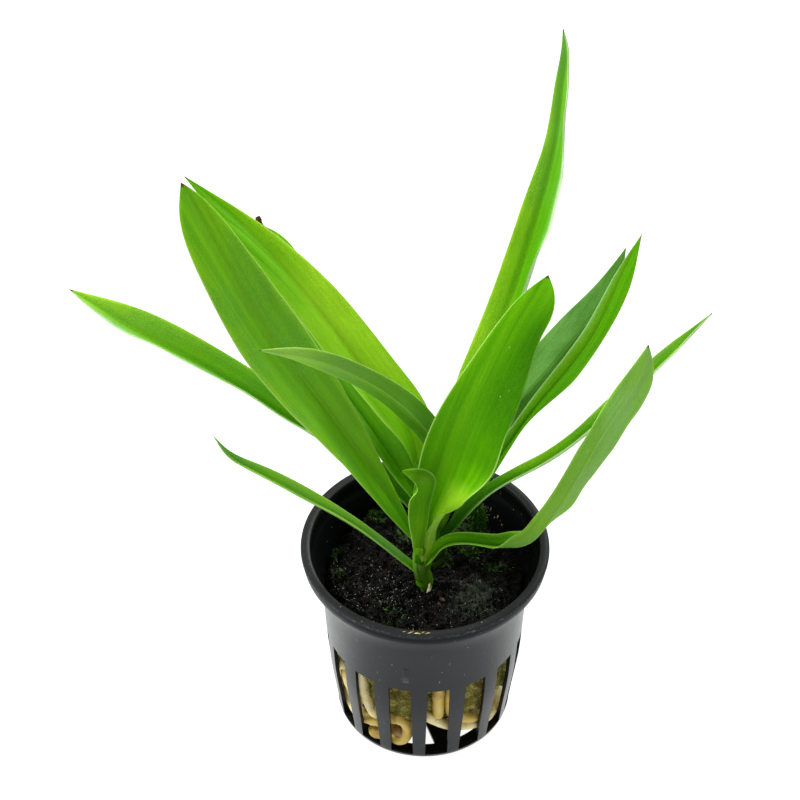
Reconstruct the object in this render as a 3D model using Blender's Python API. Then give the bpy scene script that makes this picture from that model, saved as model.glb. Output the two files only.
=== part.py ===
"""Potted ladies tresses: a slotted net pot, its plug of moss and roots, two shoots and their leaves.

The pot stands on z = 0 with its axis on the Z axis. Sizes below are in millimetres.
"""
import math

import bpy
import numpy as np

MM = 0.001
GAP = 0.3                      # air left between pieces that touch
FACET_ROOM = 0.2               # how far a flat facet of the pot stands inside its circle, and some to spare

# Net pot: half outlines, each a list of (radius, height)
BODY_OUTLINE = [(19.5, 0), (20, 1.2), (20.9, 9), (21.9, 18), (22.4, 28), (22.9, 36), (23.8, 42),
                (25.3, 45.9)]
RIM_OUTSIDE = [(26.9, 46.7), (27.4, 49.5), (27.1, 50)]
RIM_INSIDE = [(25.3, 50), (24.9, 46.7)]
WALL = 0.9
FLOOR = 0.9
POT_STEPS = 48
SLOT_COUNT = 16
SLOT_WIDTH = 5.1
SLOT_START = 15.0              # radius at which the cut of a slot begins
SLOT_END = 27.4
SLOT_FOOT = 1.05
SLOT_TOP = 25.9
SLOT_TURN = 7.9                # degrees from the front to the first slot
VENT_COUNT = 8
VENT_TURN = -6.0
VENT_HALF_WIDTH = 4.1
VENT_OUTLINE = [(7.2, 0), (16.1, -VENT_HALF_WIDTH), (16.9, 0), (16.1, VENT_HALF_WIDTH)]
VENT_CUT = (-1.0, 1.0)         # heights between which the vents are cut

# Plug of peat and moss
PLUG_LEVEL = 39.4
PLUG_EDGE = 37.4
PLUG_RINGS = (0.96, 0.8, 0.62, 0.42, 0.2)       # rings of its top, as parts of its edge's radius
PLUG_STEPS = 36
PLUG_BOTTOM = 7.0
PLUG_BOTTOM_RADIUS = 12.5
PLUG_CORE_RADIUS = 17.0
PLUG_CORE_FOOT = 11.0
PLUG_SHOULDER_FOOT = 22.6
PLUG_SHOULDER_TOP = 27.0
# mounds and hollows of its top: x, y, spread, height
PLUG_MOUNDS = [(-12, -7, 9, 2.4), (10, -9, 8, 1.6), (-11, 12, 6, 1.2), (15, 9, 8, -2.6), (3, 0, 6, 0.8)]

ROOT_SIDES = 6
ROOT_ROWS = 3                  # rows of a root from each station to the next
# Thick roots curled between the plug and the pot: azimuth in degrees, height, depth of the root's middle
# behind the pot's inside face, and radius along each
ROOTS = {
    "root_left_upright": [(-138, 22.3, 1.7, 1.2), (-137, 19.8, 1.7, 1.25), (-135.5, 16.2, 1.7, 1.25),
                          (-132.5, 12.4, 1.7, 1.2), (-127, 10.4, 1.4, 1.1), (-121.5, 10.6, 1.7, 0.95)],
    "root_left_low": [(-184, 13.8, 1.7, 1.2), (-176, 14.6, 1.7, 1.3), (-169, 13, 1.7, 1.25),
                      (-165.5, 9, 1.7, 1.1), (-161, 5.2, 1.6, 1.05), (-151, 4, 1.6, 1.05),
                      (-140, 4.7, 1.6, 1.05), (-129, 6.4, 1.4, 1), (-122, 7.3, 1.7, 0.9)],
    "root_front_curl": [(-132.5, 2.7, 1.7, 1.25), (-127, 2.6, 0.8, 1.3), (-119, 2.8, 1.8, 1.3),
                        (-110, 2.9, 1.6, 1.3), (-104.5, 4.3, 1, 1.3), (-101.8, 8, 1.4, 1.3),
                        (-105, 11.2, 1.3, 1.2), (-111, 11.2, 1.7, 1.1)],
    "root_front_upright": [(-81, 22.3, 1.6, 1.1), (-81, 19, 1.5, 1.1), (-80.6, 14.4, 1.5, 1)],
    "root_front_right": [(-73, 22.3, 1.6, 1), (-73, 18.6, 1.5, 1), (-71, 14, 1.5, 1), (-64.5, 10.9, 1.5, 1),
                         (-54, 8.5, 1.5, 1), (-43.5, 6.8, 1.5, 0.95)],
    "root_low_right": [(-94, 15.6, 1.7, 0.9), (-88.3, 13.9, 1.4, 1), (-80.6, 11.5, 1.3, 1),
                       (-72.5, 9.1, 1.5, 1), (-62.9, 7.4, 1.5, 1), (-50, 5.3, 1.4, 1), (-35.5, 3.4, 1.5, 1),
                       (-22, 3.8, 1.5, 1), (-8, 4.2, 1.5, 1)],
    "root_back_right": [(14, 22.3, 1.7, 1.1), (17, 17, 1.6, 1.1), (24, 11, 1.6, 1.1), (36, 8.5, 1.6, 1.1),
                        (48, 9, 1.7, 1)],
    "root_back": [(66, 22.3, 1.7, 1.1), (67, 15, 1.6, 1.15), (73, 9, 1.6, 1.15), (85, 6, 1.6, 1.1),
                  (99, 6, 1.6, 1)],
    "root_back_left": [(148, 22.3, 1.7, 1.1), (145, 15, 1.6, 1.15), (137, 9, 1.6, 1.15),
                       (127, 7.5, 1.6, 1.1), (115, 10, 1.6, 1)],
}

SHOOT_SIDES = 12
SHOOT_ROWS = 9
SHOOT_GAP = 0.6                # air between a shoot's flat foot and the plug's highest point under it
# Shoots: x, y, z, radius along each; the first station is set down on the plug
SHOOTS = {
    "front_shoot": [(0.1, -4.6, 41, 1.4), (-0.8, -4.8, 46, 1.7), (-0.7, -4.9, 50, 2), (-0.7, -5, 55.6, 1.5)],
    "back_shoot": [(2.6, 4.2, 41, 2.4), (2.6, 4.4, 47, 1.9), (2.6, 4.6, 53, 1.7), (2.7, 5, 60, 1.2)],
}

SPLINE_STEPS = 600             # steps in which a spline's length is measured
SIDEWAYS = (0.3, 0.9, 0.31)    # a direction along which no root or shoot starts

LEAF_THICKNESS = 0.8
LEAF_ROWS = 13
LEAF_COLUMNS = 5
LEAF_STEPS = 20                # steps of the running sum from one column of a leaf to the next
# Each leaf: stations along its midrib (x, y, z, half width on its left, half width on its right), then,
# spaced evenly from base to tip, where its upper side faces (azimuth, height), how steeply each half rises
# from the midrib, and how much more each margin rolls up, all in degrees.
LEAVES = {
    "leaf_far_left": dict(
        stations=[(0, 2.7, 54, 1.3, 1.3), (-13, 4, 69, 3.5, 3.5), (-29, 8, 79.5, 4.6, 5.2),
                  (-46, 13, 89.5, 5, 5), (-62, 17, 97.5, 3.6, 3.8), (-75, 21, 105, 0, 0)],
        faces=[(-90, 80), (-90, 80)], fold=[35, 58, 55, 45, 30], roll_left=[0, 0], roll_right=[0, 0]),
    "leaf_broad_left": dict(
        stations=[(-2.5, -4.7, 56.3, 1, 1), (-8, -2, 66, 4.8, 2.8), (-20, 5, 83, 8.4, 5.5),
                  (-33, 11, 102, 9.3, 6.3), (-43, 18, 119, 7, 4.6), (-50, 24, 131, 0, 0)],
        faces=[(-35, 35), (-50, 35), (-50, 30)],
        fold=[25, 30, 20, 15], roll_left=[0, -20], roll_right=[0, -20]),
    "leaf_back_left": dict(
        stations=[(-0.4, 5.6, 58, 1.3, 1.3), (-1.2, 7.6, 65, 2, 3), (-3, 10.5, 74, 6.5, 5),
                  (-10, 15, 84, 9, 5.6), (-22, 23, 98, 8, 5), (-38, 32, 113, 4.5, 2.3),
                  (-51, 37, 122.5, 0, 0)],
        faces=[(-45, 40), (-50, 40), (-50, 40)],
        fold=[30, 35, 25, 20], roll_left=[0, -20], roll_right=[0, -20]),
    "leaf_inner_left": dict(
        stations=[(0.7, 2.8, 56.5, 1.2, 1.2), (-7, 6.4, 69.4, 5, 3), (-15, 14, 78, 7, 5),
                  (-26, 24, 89, 6, 4.5), (-39, 37, 105, 0, 0)],
        faces=[(-45, 45), (-50, 45), (-50, 45)],
        fold=[30, 40, 25, 25], roll_left=[0, -10], roll_right=[0, -10]),
    "leaf_withered_tip": dict(
        stations=[(1.6, 7.4, 56, 1.3, 1.3), (-6, 17, 73, 3.5, 3.5), (-17, 29, 86, 4, 3.5),
                  (-28, 38, 98, 3, 1.5), (-36, 43, 106, 0.5, 0.5), (-37, 43, 108, 0, 0)],
        faces=[(-80, 45), (-70, 45)], fold=[30, 45, 35, 30], roll_left=[0, -10], roll_right=[0, -10]),
    "leaf_arching_left": dict(
        stations=[(4.1, 1.6, 56, 1.3, 1.3), (4, 3, 71, 3.2, 3.2), (-2, 3, 84.5, 3.5, 3.5),
                  (-13, 1, 97.5, 2.6, 2.8), (-25, -1, 105.5, 1.8, 2), (-34, -3, 109, 0, 0)],
        faces=[(95, -10), (95, -20), (95, -10)],
        fold=[30, 40, 25, 25], roll_left=[0, -10], roll_right=[0, -10]),
    "leaf_broad_centre": dict(
        stations=[(1.3, -4.5, 56.4, 1.5, 2.2), (1.5, -4.3, 60, 2.6, 6.6), (2.4, -4.1, 63.5, 4.4, 8),
                  (4.4, -4, 70, 7, 7.6), (8.5, -2, 84, 8, 9.2), (14, 1, 99, 5.8, 7.5),
                  (19.5, 4.5, 111, 3.6, 5.2), (23.5, 7, 118, 1.2, 2.3), (24.3, 8, 119.5, 0, 0)],
        faces=[(-130, 20), (-115, 20), (-115, 20)], fold=[50, 50, 42, 33, 25, 20, 17, 15, 15],
        roll_left=[0, -10, -10], roll_right=[60, 100, 30, 10, 10, 0, -10, -10, -10]),
    "leaf_tallest": dict(
        stations=[(2.9, 5.2, 60.6, 1.3, 1.3), (9.5, 13, 79, 4.6, 4.6), (15.5, 18, 95, 4.8, 5),
                  (20.6, 22, 113, 4.2, 5), (24, 25, 127, 3.6, 4.6), (26, 27, 138, 2.4, 3.6),
                  (27.2, 28, 152, 1.7, 2.4), (27.5, 28, 160, 1, 1.3), (26.3, 28, 165, 0, 0)],
        faces=[(-120, 20), (-115, 15), (-115, 10)], fold=[40, 30, 20, 20, 20, 20], roll_left=[0, 0],
        roll_right=[0, 10, 40, 100, 110, 110, 50, 20, 100, 60, 20]),
    "leaf_back_right": dict(
        stations=[(4.2, 6.3, 52, 1.3, 1.3), (12, 13, 66, 3.6, 4), (22, 19, 77, 4.6, 5.2),
                  (33, 26, 88, 4, 4.8), (39, 31, 96, 2.6, 2), (43, 35, 105, 0, 0)],
        faces=[(90, -20), (85, -35), (85, -35)],
        fold=[30, 25, 20, 15], roll_left=[0, -10], roll_right=[0, -10]),
    "leaf_wavy_right": dict(
        stations=[(5.9, 4.3, 50, 1.3, 1.3), (16, 10.5, 65.5, 2, 1.6), (24, 15, 77, 2, 1.8),
                  (30, 17.5, 84.5, 2.4, 3.2), (36, 21, 92.5, 2.4, 2.8), (41, 25, 104, 1.6, 3.1),
                  (45, 27, 115, 0, 0)],
        faces=[(-120, 40), (-120, 30), (-120, 30)], fold=[35, 45, 25, 20], roll_left=[0, -10],
        roll_right=[0, -10]),
    "leaf_bent_right": dict(
        stations=[(1.75, -6.75, 53.2, 1.4, 1.4), (4.6, -7, 57.2, 2, 2), (10, -7, 58.6, 2.5, 2.5),
                  (20.8, -9, 60.3, 2.5, 2.5), (25, -9.5, 65.5, 3.4, 3), (32.5, -8, 81, 4.4, 3.5),
                  (38, -8, 95, 4.4, 3.5), (42.5, -8, 107.5, 3, 2.2), (43.5, -8, 115, 0, 0)],
        faces=[(-90, 70), (-90, 75), (-95, 70), (130, 10), (110, -15), (105, -20), (105, -25), (105, -25)],
        fold=[40, 60, 50, 20, 15, 15, 15, 15], roll_left=[0, 0], roll_right=[0, 0]),
    "leaf_far_right": dict(
        stations=[(4.6, 2.1, 50, 1.3, 1.3), (14, 5.5, 60, 2, 2), (26, 8, 66.8, 2.3, 2.3),
                  (38, 11, 76.8, 2.6, 2.6), (50, 14, 90.3, 2.4, 2.4), (60, 17, 102, 0, 0)],
        faces=[(-90, 80), (-90, 80)], fold=[35, 60, 55, 45], roll_left=[0, 0], roll_right=[0, 0]),
    "leaf_low_left": dict(
        stations=[(-3.6, -4.5, 47.8, 1.2, 1.2), (-16, -1, 57, 1.8, 1.8), (-26, 1, 63, 2.4, 2.4),
                  (-36, 3, 68, 2, 2), (-42, 4, 71, 0.8, 0.8), (-45, 4, 78, 0, 0)],
        faces=[(-90, 80), (-90, 80)], fold=[35, 55, 50, 20], roll_left=[0, 0], roll_right=[0, 0]),
    "leaf_youngest": dict(
        stations=[(-0.7, -7, 58, 1.1, 1.1), (-0.2, -7.5, 62, 2, 3), (0.6, -7.8, 65.4, 3, 5),
                  (1.2, -8, 69, 3.4, 5.6), (1.7, -9, 76.5, 3.6, 5), (0.7, -10, 80.5, 3.2, 4),
                  (-1.8, -11.2, 83, 2.6, 3), (-5.2, -12, 84, 0, 0)],
        faces=[(180, 0), (180, 0), (180, 0), (180, -20), (180, -70)], fold=[50, 65, 65, 55, 45],
        roll_left=[-20, -20], roll_right=[-20, -20]),
    "old_leaf": dict(
        stations=[(12.4, 12.2, 38.1, 1.4, 1.4), (12.2, 12.5, 43, 1.8, 1.8), (11.6, 13, 48, 1.9, 1.8),
                  (11.4, 13, 50.5, 0, 0)],
        faces=[(-100, 20), (-100, 20)], fold=[20, 20], roll_left=[0, 0], roll_right=[0, 0]),
}


def clear_scene():
    for thing in list(bpy.data.objects):
        bpy.data.objects.remove(thing, do_unlink=True)


def finish(name, colour, roughness):
    """A plain Principled finish."""
    material = bpy.data.materials.new(name)
    material.use_nodes = True
    shader = material.node_tree.nodes["Principled BSDF"]
    shader.inputs["Base Color"].default_value = (*colour, 1)
    shader.inputs["Roughness"].default_value = roughness
    shader.inputs["Metallic"].default_value = 0.0
    return material


def add_solid(name, points, faces, material, crease=40):
    """One named object from points in millimetres."""
    mesh = bpy.data.meshes.new(name)
    mesh.from_pydata((np.asarray(points, float) * MM).tolist(), [], faces)
    mesh.materials.append(material)
    mesh.shade_smooth()
    mesh.set_sharp_from_angle(angle=math.radians(crease))
    solid = bpy.data.objects.new(name, mesh)
    bpy.context.scene.collection.objects.link(solid)
    return solid


def joined_rings(rows, columns, start=0):
    """Quads between closed rings of points that follow one another."""
    faces = []
    for row in range(rows - 1):
        for column in range(columns):
            following = (column + 1) % columns
            low = start + row * columns
            faces.append((low + column, low + following, low + columns + following, low + columns + column))
    return faces


def turned(outline, steps):
    """Points and faces of an outline turned about Z, which starts and ends on the axis, foot first."""
    rings = np.array(outline[1:-1], float)
    turns = np.arange(steps) * 2 * math.pi / steps
    points = np.stack([rings[:, :1] * np.cos(turns), rings[:, :1] * np.sin(turns),
                       np.repeat(rings[:, 1:], steps, axis=1)], axis=2).reshape(-1, 3)
    faces = joined_rings(len(rings), steps)
    foot = len(points)
    top = foot + 1
    last = foot - steps
    for step in range(steps):
        following = (step + 1) % steps
        faces.append((foot, following, step))
        faces.append((top, last + step, last + following))
    ends = [(0, 0, outline[0][1]), (0, 0, outline[-1][1])]
    return np.vstack([points, ends]), faces


def inner_radius(height):
    """Radius of the inside of the pot's body at a height."""
    return np.interp(height, [z for _, z in BODY_OUTLINE], [r for r, _ in BODY_OUTLINE]) - WALL


def pot_outline():
    """Outline of the pot's section, from the middle of its foot over the rim to the middle of its floor."""
    outside = [(0, 0)] + BODY_OUTLINE + RIM_OUTSIDE
    inside = RIM_INSIDE + [(inner_radius(z), z) for _, z in reversed(BODY_OUTLINE[2:-1])]
    return outside + inside + [(inner_radius(FLOOR), FLOOR), (0, FLOOR)]


def prisms(corners, count, first_turn, low, high):
    """Upright prisms on one outline, repeated round the Z axis."""
    points = []
    faces = []
    sides = len(corners)
    for number in range(count):
        turn = math.radians(first_turn + number * 360 / count)
        start = len(points)
        for height in (low, high):
            for x, y in corners:
                points.append((x * math.cos(turn) - y * math.sin(turn),
                               x * math.sin(turn) + y * math.cos(turn), height))
        faces.append(tuple(start + side for side in reversed(range(sides))))
        faces.append(tuple(start + sides + side for side in range(sides)))
        faces += joined_rings(2, sides, start)
    return points, faces


def cut(solid, name, points, faces, material):
    """Take a hidden cutter away from a solid."""
    cutter = add_solid(name, points, faces, material)
    cutter.hide_render = True
    cutter.display_type = "WIRE"
    boolean = solid.modifiers.new(name, "BOOLEAN")
    boolean.operation = "DIFFERENCE"
    boolean.solver = "EXACT"
    boolean.object = cutter


def build_pot():
    plastic = finish("dark_plastic", (0.058, 0.066, 0.076), 0.42)
    pot = add_solid("net_pot", *turned(pot_outline(), POT_STEPS), plastic, 30)
    half = SLOT_WIDTH / 2
    slot = [(SLOT_START, -half), (SLOT_END, -half), (SLOT_END, half), (SLOT_START, half)]
    cut(pot, "slot_cutter", *prisms(slot, SLOT_COUNT, -90 + SLOT_TURN, SLOT_FOOT, SLOT_TOP), plastic)
    cut(pot, "vent_cutter", *prisms(VENT_OUTLINE, VENT_COUNT, -90 + VENT_TURN, *VENT_CUT), plastic)


def plug_height(x, y):
    """Height of the plug's lumpy top: a level, mounds that fall off as bells, and small waves."""
    height = PLUG_LEVEL + 0.35 * np.sin(0.9 * x + 0.4) * np.cos(0.8 * y)
    for mound_x, mound_y, spread, rise in PLUG_MOUNDS:
        height = height + rise * np.exp(-((x - mound_x) ** 2 + (y - mound_y) ** 2) / spread ** 2)
    return height


def build_plug():
    peat = finish("peat_and_moss", (0.03, 0.03, 0.02), 0.9)
    shoulder, edge = (inner_radius(z) - GAP - FACET_ROOM for z in (PLUG_SHOULDER_TOP, PLUG_EDGE))
    side = [(0, PLUG_BOTTOM), (PLUG_BOTTOM_RADIUS, PLUG_BOTTOM), (PLUG_CORE_RADIUS, PLUG_CORE_FOOT),
            (PLUG_CORE_RADIUS, PLUG_SHOULDER_FOOT), (shoulder, PLUG_SHOULDER_TOP), (edge, PLUG_EDGE)]
    side += [(edge * part, PLUG_LEVEL) for part in PLUG_RINGS] + [(0, PLUG_LEVEL)]
    points, faces = turned(side, PLUG_STEPS)
    top = points[:, 2] == PLUG_LEVEL
    points[top, 2] = plug_height(points[top, 0], points[top, 1])
    add_solid("moss_plug", points, faces, peat)


def unit(vectors):
    return vectors / np.maximum(np.linalg.norm(vectors, axis=-1, keepdims=True), 1e-9)


def smooth_line(stations, count):
    """Rows spaced evenly along a natural cubic spline through stations, which start with a place."""
    stations = np.asarray(stations, float)
    steps = np.linalg.norm(np.diff(stations[:, :3], axis=0), axis=1)
    knots = np.concatenate([[0], np.cumsum(steps)])
    last = len(stations) - 1
    system = np.eye(len(stations))
    bends = np.zeros_like(stations)
    for i in range(1, last):
        system[i, i - 1:i + 2] = steps[i - 1], 2 * (steps[i - 1] + steps[i]), steps[i]
        before = (stations[i] - stations[i - 1]) / steps[i - 1]
        after = (stations[i + 1] - stations[i]) / steps[i]
        bends[i] = 6 * (after - before)
    bends = np.linalg.solve(system, bends)
    fine = np.linspace(0, knots[-1], SPLINE_STEPS)
    i = np.clip(np.searchsorted(knots, fine, side="right") - 1, 0, last - 1)
    step = steps[i][:, None]
    before = (knots[i + 1] - fine)[:, None]
    after = (fine - knots[i])[:, None]
    curve = (bends[i] * before ** 3 + bends[i + 1] * after ** 3) / (6 * step)
    curve += (stations[i] / step - bends[i] * step / 6) * before
    curve += (stations[i + 1] / step - bends[i + 1] * step / 6) * after
    run = np.concatenate([[0], np.cumsum(np.linalg.norm(np.diff(curve[:, :3], axis=0), axis=1))])
    even = np.linspace(0, run[-1], count)
    return np.stack([np.interp(even, run, column) for column in curve.T], axis=1)


def eased(values, places):
    """Values given at even spacing, eased from one to the next at places from 0 to 1."""
    values = np.asarray(values, float).reshape(len(values), -1)
    scaled = np.clip(places, 0, 1) * (len(values) - 1)
    i = np.minimum(scaled.astype(int), len(values) - 2)
    part = (scaled - i)[:, None]
    part = part * part * (3 - 2 * part)
    return values[i] * (1 - part) + values[i + 1] * part


def directions(angles):
    """Unit vectors towards (azimuth, height) in degrees."""
    azimuth, height = np.radians(np.asarray(angles, float)).T
    level = np.cos(height)
    return np.stack([np.cos(azimuth) * level, np.sin(azimuth) * level, np.sin(height)], axis=1)


def leaf_surface(leaf, rows, columns):
    """Middle surface of a leaf and the direction out of its upper side.

    The midrib is a spline. Across it, each half leaves the midrib at the fold angle and turns by the roll
    times the square of the way out, so its section is the running sum of cosines and sines of that angle.
    """
    line = smooth_line(leaf["stations"], rows)
    midrib = line[:, :3]
    places = np.linspace(0, 1, rows)
    along = unit(np.gradient(midrib, axis=0))
    facing = eased(directions(leaf["faces"]), places)
    upper = unit(facing - (facing * along).sum(1)[:, None] * along)
    across = np.cross(along, upper)
    fold = np.radians(eased(leaf["fold"], places))
    out = np.linspace(0, 1, (columns // 2) * LEAF_STEPS + 1)
    halves = []
    for side, roll in ((-1, leaf["roll_left"]), (1, leaf["roll_right"])):
        half_width = np.maximum(line[:, 3 if side < 0 else 4], 0)[:, None]
        angle = fold + np.radians(eased(roll, places)) * out ** 2
        step = half_width / (len(out) - 1)
        reach = np.cumsum(np.cos(angle) * step, axis=1) - np.cos(angle[:, :1]) * step
        rise = np.cumsum(np.sin(angle) * step, axis=1) - np.sin(angle[:, :1]) * step
        sine = np.sin(angle)[..., None]
        cosine = np.cos(angle)[..., None]
        place = midrib[:, None] + side * reach[..., None] * across[:, None] + rise[..., None] * upper[:, None]
        normal = cosine * upper[:, None] - side * sine * across[:, None]
        halves.append((place[:, ::LEAF_STEPS], normal[:, ::LEAF_STEPS]))
    (left, left_out), (right, right_out) = halves
    surface = np.concatenate([left[:, :0:-1], right], axis=1)
    outward = np.concatenate([left_out[:, :0:-1], upper[:, None], right_out[:, 1:]], axis=1)
    return surface, outward


def leaf_solid(leaf):
    """A leaf thickened to a lens: full at the midrib, closed to an edge at its margins, a point at its tip.

    Its two sides are split along the same diagonals, so that they never cross where the leaf twists.
    """
    surface, outward = leaf_surface(leaf, LEAF_ROWS, LEAF_COLUMNS)
    out = np.linspace(-1, 1, LEAF_COLUMNS)
    half = LEAF_THICKNESS / 2 * np.sqrt(1 - out ** 2)[None, :, None]
    above = surface + outward * half
    below = surface - outward * half
    rings = np.concatenate([above, below[:, -2:0:-1]], axis=1)[:-1]
    count = rings.shape[1]
    points = np.vstack([rings.reshape(-1, 3), surface[-1:, LEAF_COLUMNS // 2]])
    faces = [tuple(reversed(range(count)))]
    for row in range(LEAF_ROWS - 2):
        for column in range(count):
            low = row * count + column
            low_next = row * count + (column + 1) % count
            if column < LEAF_COLUMNS - 1:
                faces += [(low, low_next, low_next + count), (low, low_next + count, low + count)]
            else:
                faces += [(low, low_next, low + count), (low_next, low_next + count, low + count)]
    tip = len(points) - 1
    last = tip - count
    faces += [(last + column, last + (column + 1) % count, tip) for column in range(count)]
    return points, faces


def build_leaves():
    green = finish("leaf_green", (0.09, 0.3, 0.02), 0.4)
    for name, leaf in LEAVES.items():
        add_solid(name, *leaf_solid(leaf), green, 60)


def tube(stations, rows, sides):
    """A round tube through stations (x, y, z, radius), with flat ends."""
    line = smooth_line(stations, rows)
    middle = line[:, :3]
    along = unit(np.gradient(middle, axis=0))
    side = unit(np.cross(along[0], SIDEWAYS))
    turns = np.arange(sides) * 2 * math.pi / sides
    rings = []
    for place, direction, radius in zip(middle, along, line[:, 3]):
        side = unit(side - (side @ direction) * direction)
        other = np.cross(direction, side)
        rings.append(place + radius * (np.cos(turns)[:, None] * side + np.sin(turns)[:, None] * other))
    faces = [tuple(reversed(range(sides)))] + joined_rings(rows, sides)
    faces.append(tuple((rows - 1) * sides + step for step in range(sides)))
    return np.vstack(rings), faces


def build_roots():
    pale = finish("root_cream", (0.72, 0.6, 0.3), 0.6)
    for name, route in ROOTS.items():
        stations = []
        for turn, height, depth, radius in route:
            orbit = inner_radius(height) - depth
            angle = math.radians(turn)
            stations.append((orbit * math.cos(angle), orbit * math.sin(angle), height, radius))
        add_solid(name, *tube(stations, ROOT_ROWS * (len(route) - 1) + 1, ROOT_SIDES), pale, 60)


def build_shoots():
    green = finish("shoot_green", (0.1, 0.22, 0.03), 0.5)
    for name, stations in SHOOTS.items():
        x, y, _, radius = stations[0]
        turns = np.arange(SHOOT_SIDES) * 2 * math.pi / SHOOT_SIDES
        around = plug_height(x + radius * np.cos(turns), y + radius * np.sin(turns))
        foot = max(around.max(), plug_height(x, y)) + SHOOT_GAP
        add_solid(name, *tube([(x, y, foot, radius)] + stations[1:], SHOOT_ROWS, SHOOT_SIDES), green, 60)


clear_scene()
build_pot()
build_plug()
build_roots()
build_shoots()
build_leaves()
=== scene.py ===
"""Potted ladies tresses: the looks of a net pot, its moss plug, its roots, two shoots and their leaves.

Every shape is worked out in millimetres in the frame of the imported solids, and stands for the solid that it
replaces. Each kind of piece has its own operator, and main calls them in order.
"""
import math

import bpy
import numpy as np
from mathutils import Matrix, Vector


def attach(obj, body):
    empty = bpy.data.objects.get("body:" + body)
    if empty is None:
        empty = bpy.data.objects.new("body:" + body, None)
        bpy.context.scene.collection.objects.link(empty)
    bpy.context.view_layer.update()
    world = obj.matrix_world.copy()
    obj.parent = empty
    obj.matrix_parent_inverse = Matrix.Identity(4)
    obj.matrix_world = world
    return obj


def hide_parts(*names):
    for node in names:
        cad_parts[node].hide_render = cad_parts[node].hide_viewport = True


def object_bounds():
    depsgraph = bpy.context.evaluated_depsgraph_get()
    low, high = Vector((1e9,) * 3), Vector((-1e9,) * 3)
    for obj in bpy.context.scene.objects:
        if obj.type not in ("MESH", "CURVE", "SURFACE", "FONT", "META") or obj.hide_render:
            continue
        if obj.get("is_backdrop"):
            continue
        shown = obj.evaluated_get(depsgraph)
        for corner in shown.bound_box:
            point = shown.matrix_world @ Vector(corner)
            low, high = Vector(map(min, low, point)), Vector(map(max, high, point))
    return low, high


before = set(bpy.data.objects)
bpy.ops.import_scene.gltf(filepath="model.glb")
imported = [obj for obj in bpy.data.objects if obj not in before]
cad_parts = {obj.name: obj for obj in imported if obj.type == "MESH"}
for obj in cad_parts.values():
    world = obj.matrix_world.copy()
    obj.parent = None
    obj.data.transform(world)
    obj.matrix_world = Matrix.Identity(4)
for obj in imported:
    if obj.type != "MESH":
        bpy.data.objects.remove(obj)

bl_info = {
    "name": "Potted Ladies Tresses",
    "version": (1, 0, 0),
    "blender": (4, 5, 0),
    "location": "3D View > Sidebar > Plant",
    "description": "Builds the pot, moss, roots, shoots and leaves of a potted ladies tresses",
    "category": "Add Mesh",
}

MM = 0.001
BODY = "root"
SPLINE_STEPS = 600
SIDEWAYS = np.array([0.3, 0.9, 0.31])

# Pot: half outline of its body, as (radius, height), then the curls of its foot and rim
BODY_OUTLINE = [(19.5, 0), (20, 1.2), (20.9, 9), (21.9, 18), (22.4, 28), (22.9, 36), (23.8, 42),
                (25.3, 45.9)]
FOOT_OUTSIDE = [(19.5, 0), (19.85, 0.3)]
RIM_OUTSIDE = [(25.8, 46.5), (26.75, 46.75), (26.95, 47.1), (27.36, 49.4), (27.3, 49.8), (27, 50)]
RIM_INSIDE = [(25.6, 50), (25.35, 49.8), (24.95, 46.9), (24.7, 46.2)]
WALL = 0.9
FLOOR = 0.9
INNER_FOOT = 19.1              # radius at which the inside of the wall meets the floor
SLOTS = 16
SLOT_COLUMNS = 6
RIB_COLUMNS = 10
SLOT_HALF = 2.55
SLOT_FOOT = 1.05
SLOT_TOP = 25.9
SLOT_TURN = -82.1
VENTS = 8
VENT_COLUMNS = 14
VENT_TURN = -96.0
VENT_TIP = 7.2
VENT_START = 7.6
VENT_END = 16.75
VENT_CORNER = (4.1, 16.1)      # half width and radius of a vent's outer corner
VENT_SLOPE = 0.46              # half width that a vent gains for each millimetre outward
VENT_BLUNT = 0.02              # least half angle of a vent, in radians
VENT_ROLL = 10                 # columns by which the floor's grid is turned to meet the wall's
NUB = (-4.2, 31.3)             # the small raised mark on the front of the wall: across and up
NUB_HALF = (0.9, 2.6)

SCUFF = (17.4, -14.3, 30.8)    # the middle of a faint scuff on the wall
RIM_SHADE = (36.0, 44.5)       # heights between which the wall's glint dies away under the rim
EDGE_ROUND = 0.14              # width of the pot's rounded edges

# Plug: the mounds and hollows of its top are x, y, spread, height
PLUG_LEVEL = 39.4
PLUG_COLUMNS = 260
PLUG_SIDE = (10.5, 26.6, 44)   # lowest and highest ring of its woolly side, and their number
PLUG_TOP = (22.6, 0.35, 62)    # widest and narrowest ring of its top, and their number
PLUG_EDGE = (21.0, 22.9)       # radii over which its top falls to the level at the pot's wall
PLUG_EDGE_LEVEL = 37.4
PLUG_FOOT = [(4, 7.2), (9, 7), (12.5, 7.4), (16, 9.3)]    # radius and height of the rings under it
PLUG_SHOULDER = (27.6, 32, 36.5)                          # heights of the rings over its wool
PLUG_MOUNDS = [(-12, -7, 9, 2.4), (10, -9, 8, 1.6), (-11, 12, 6, 1.2), (15, 9, 8, -2.6), (3, 0, 6, 0.8)]

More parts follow.
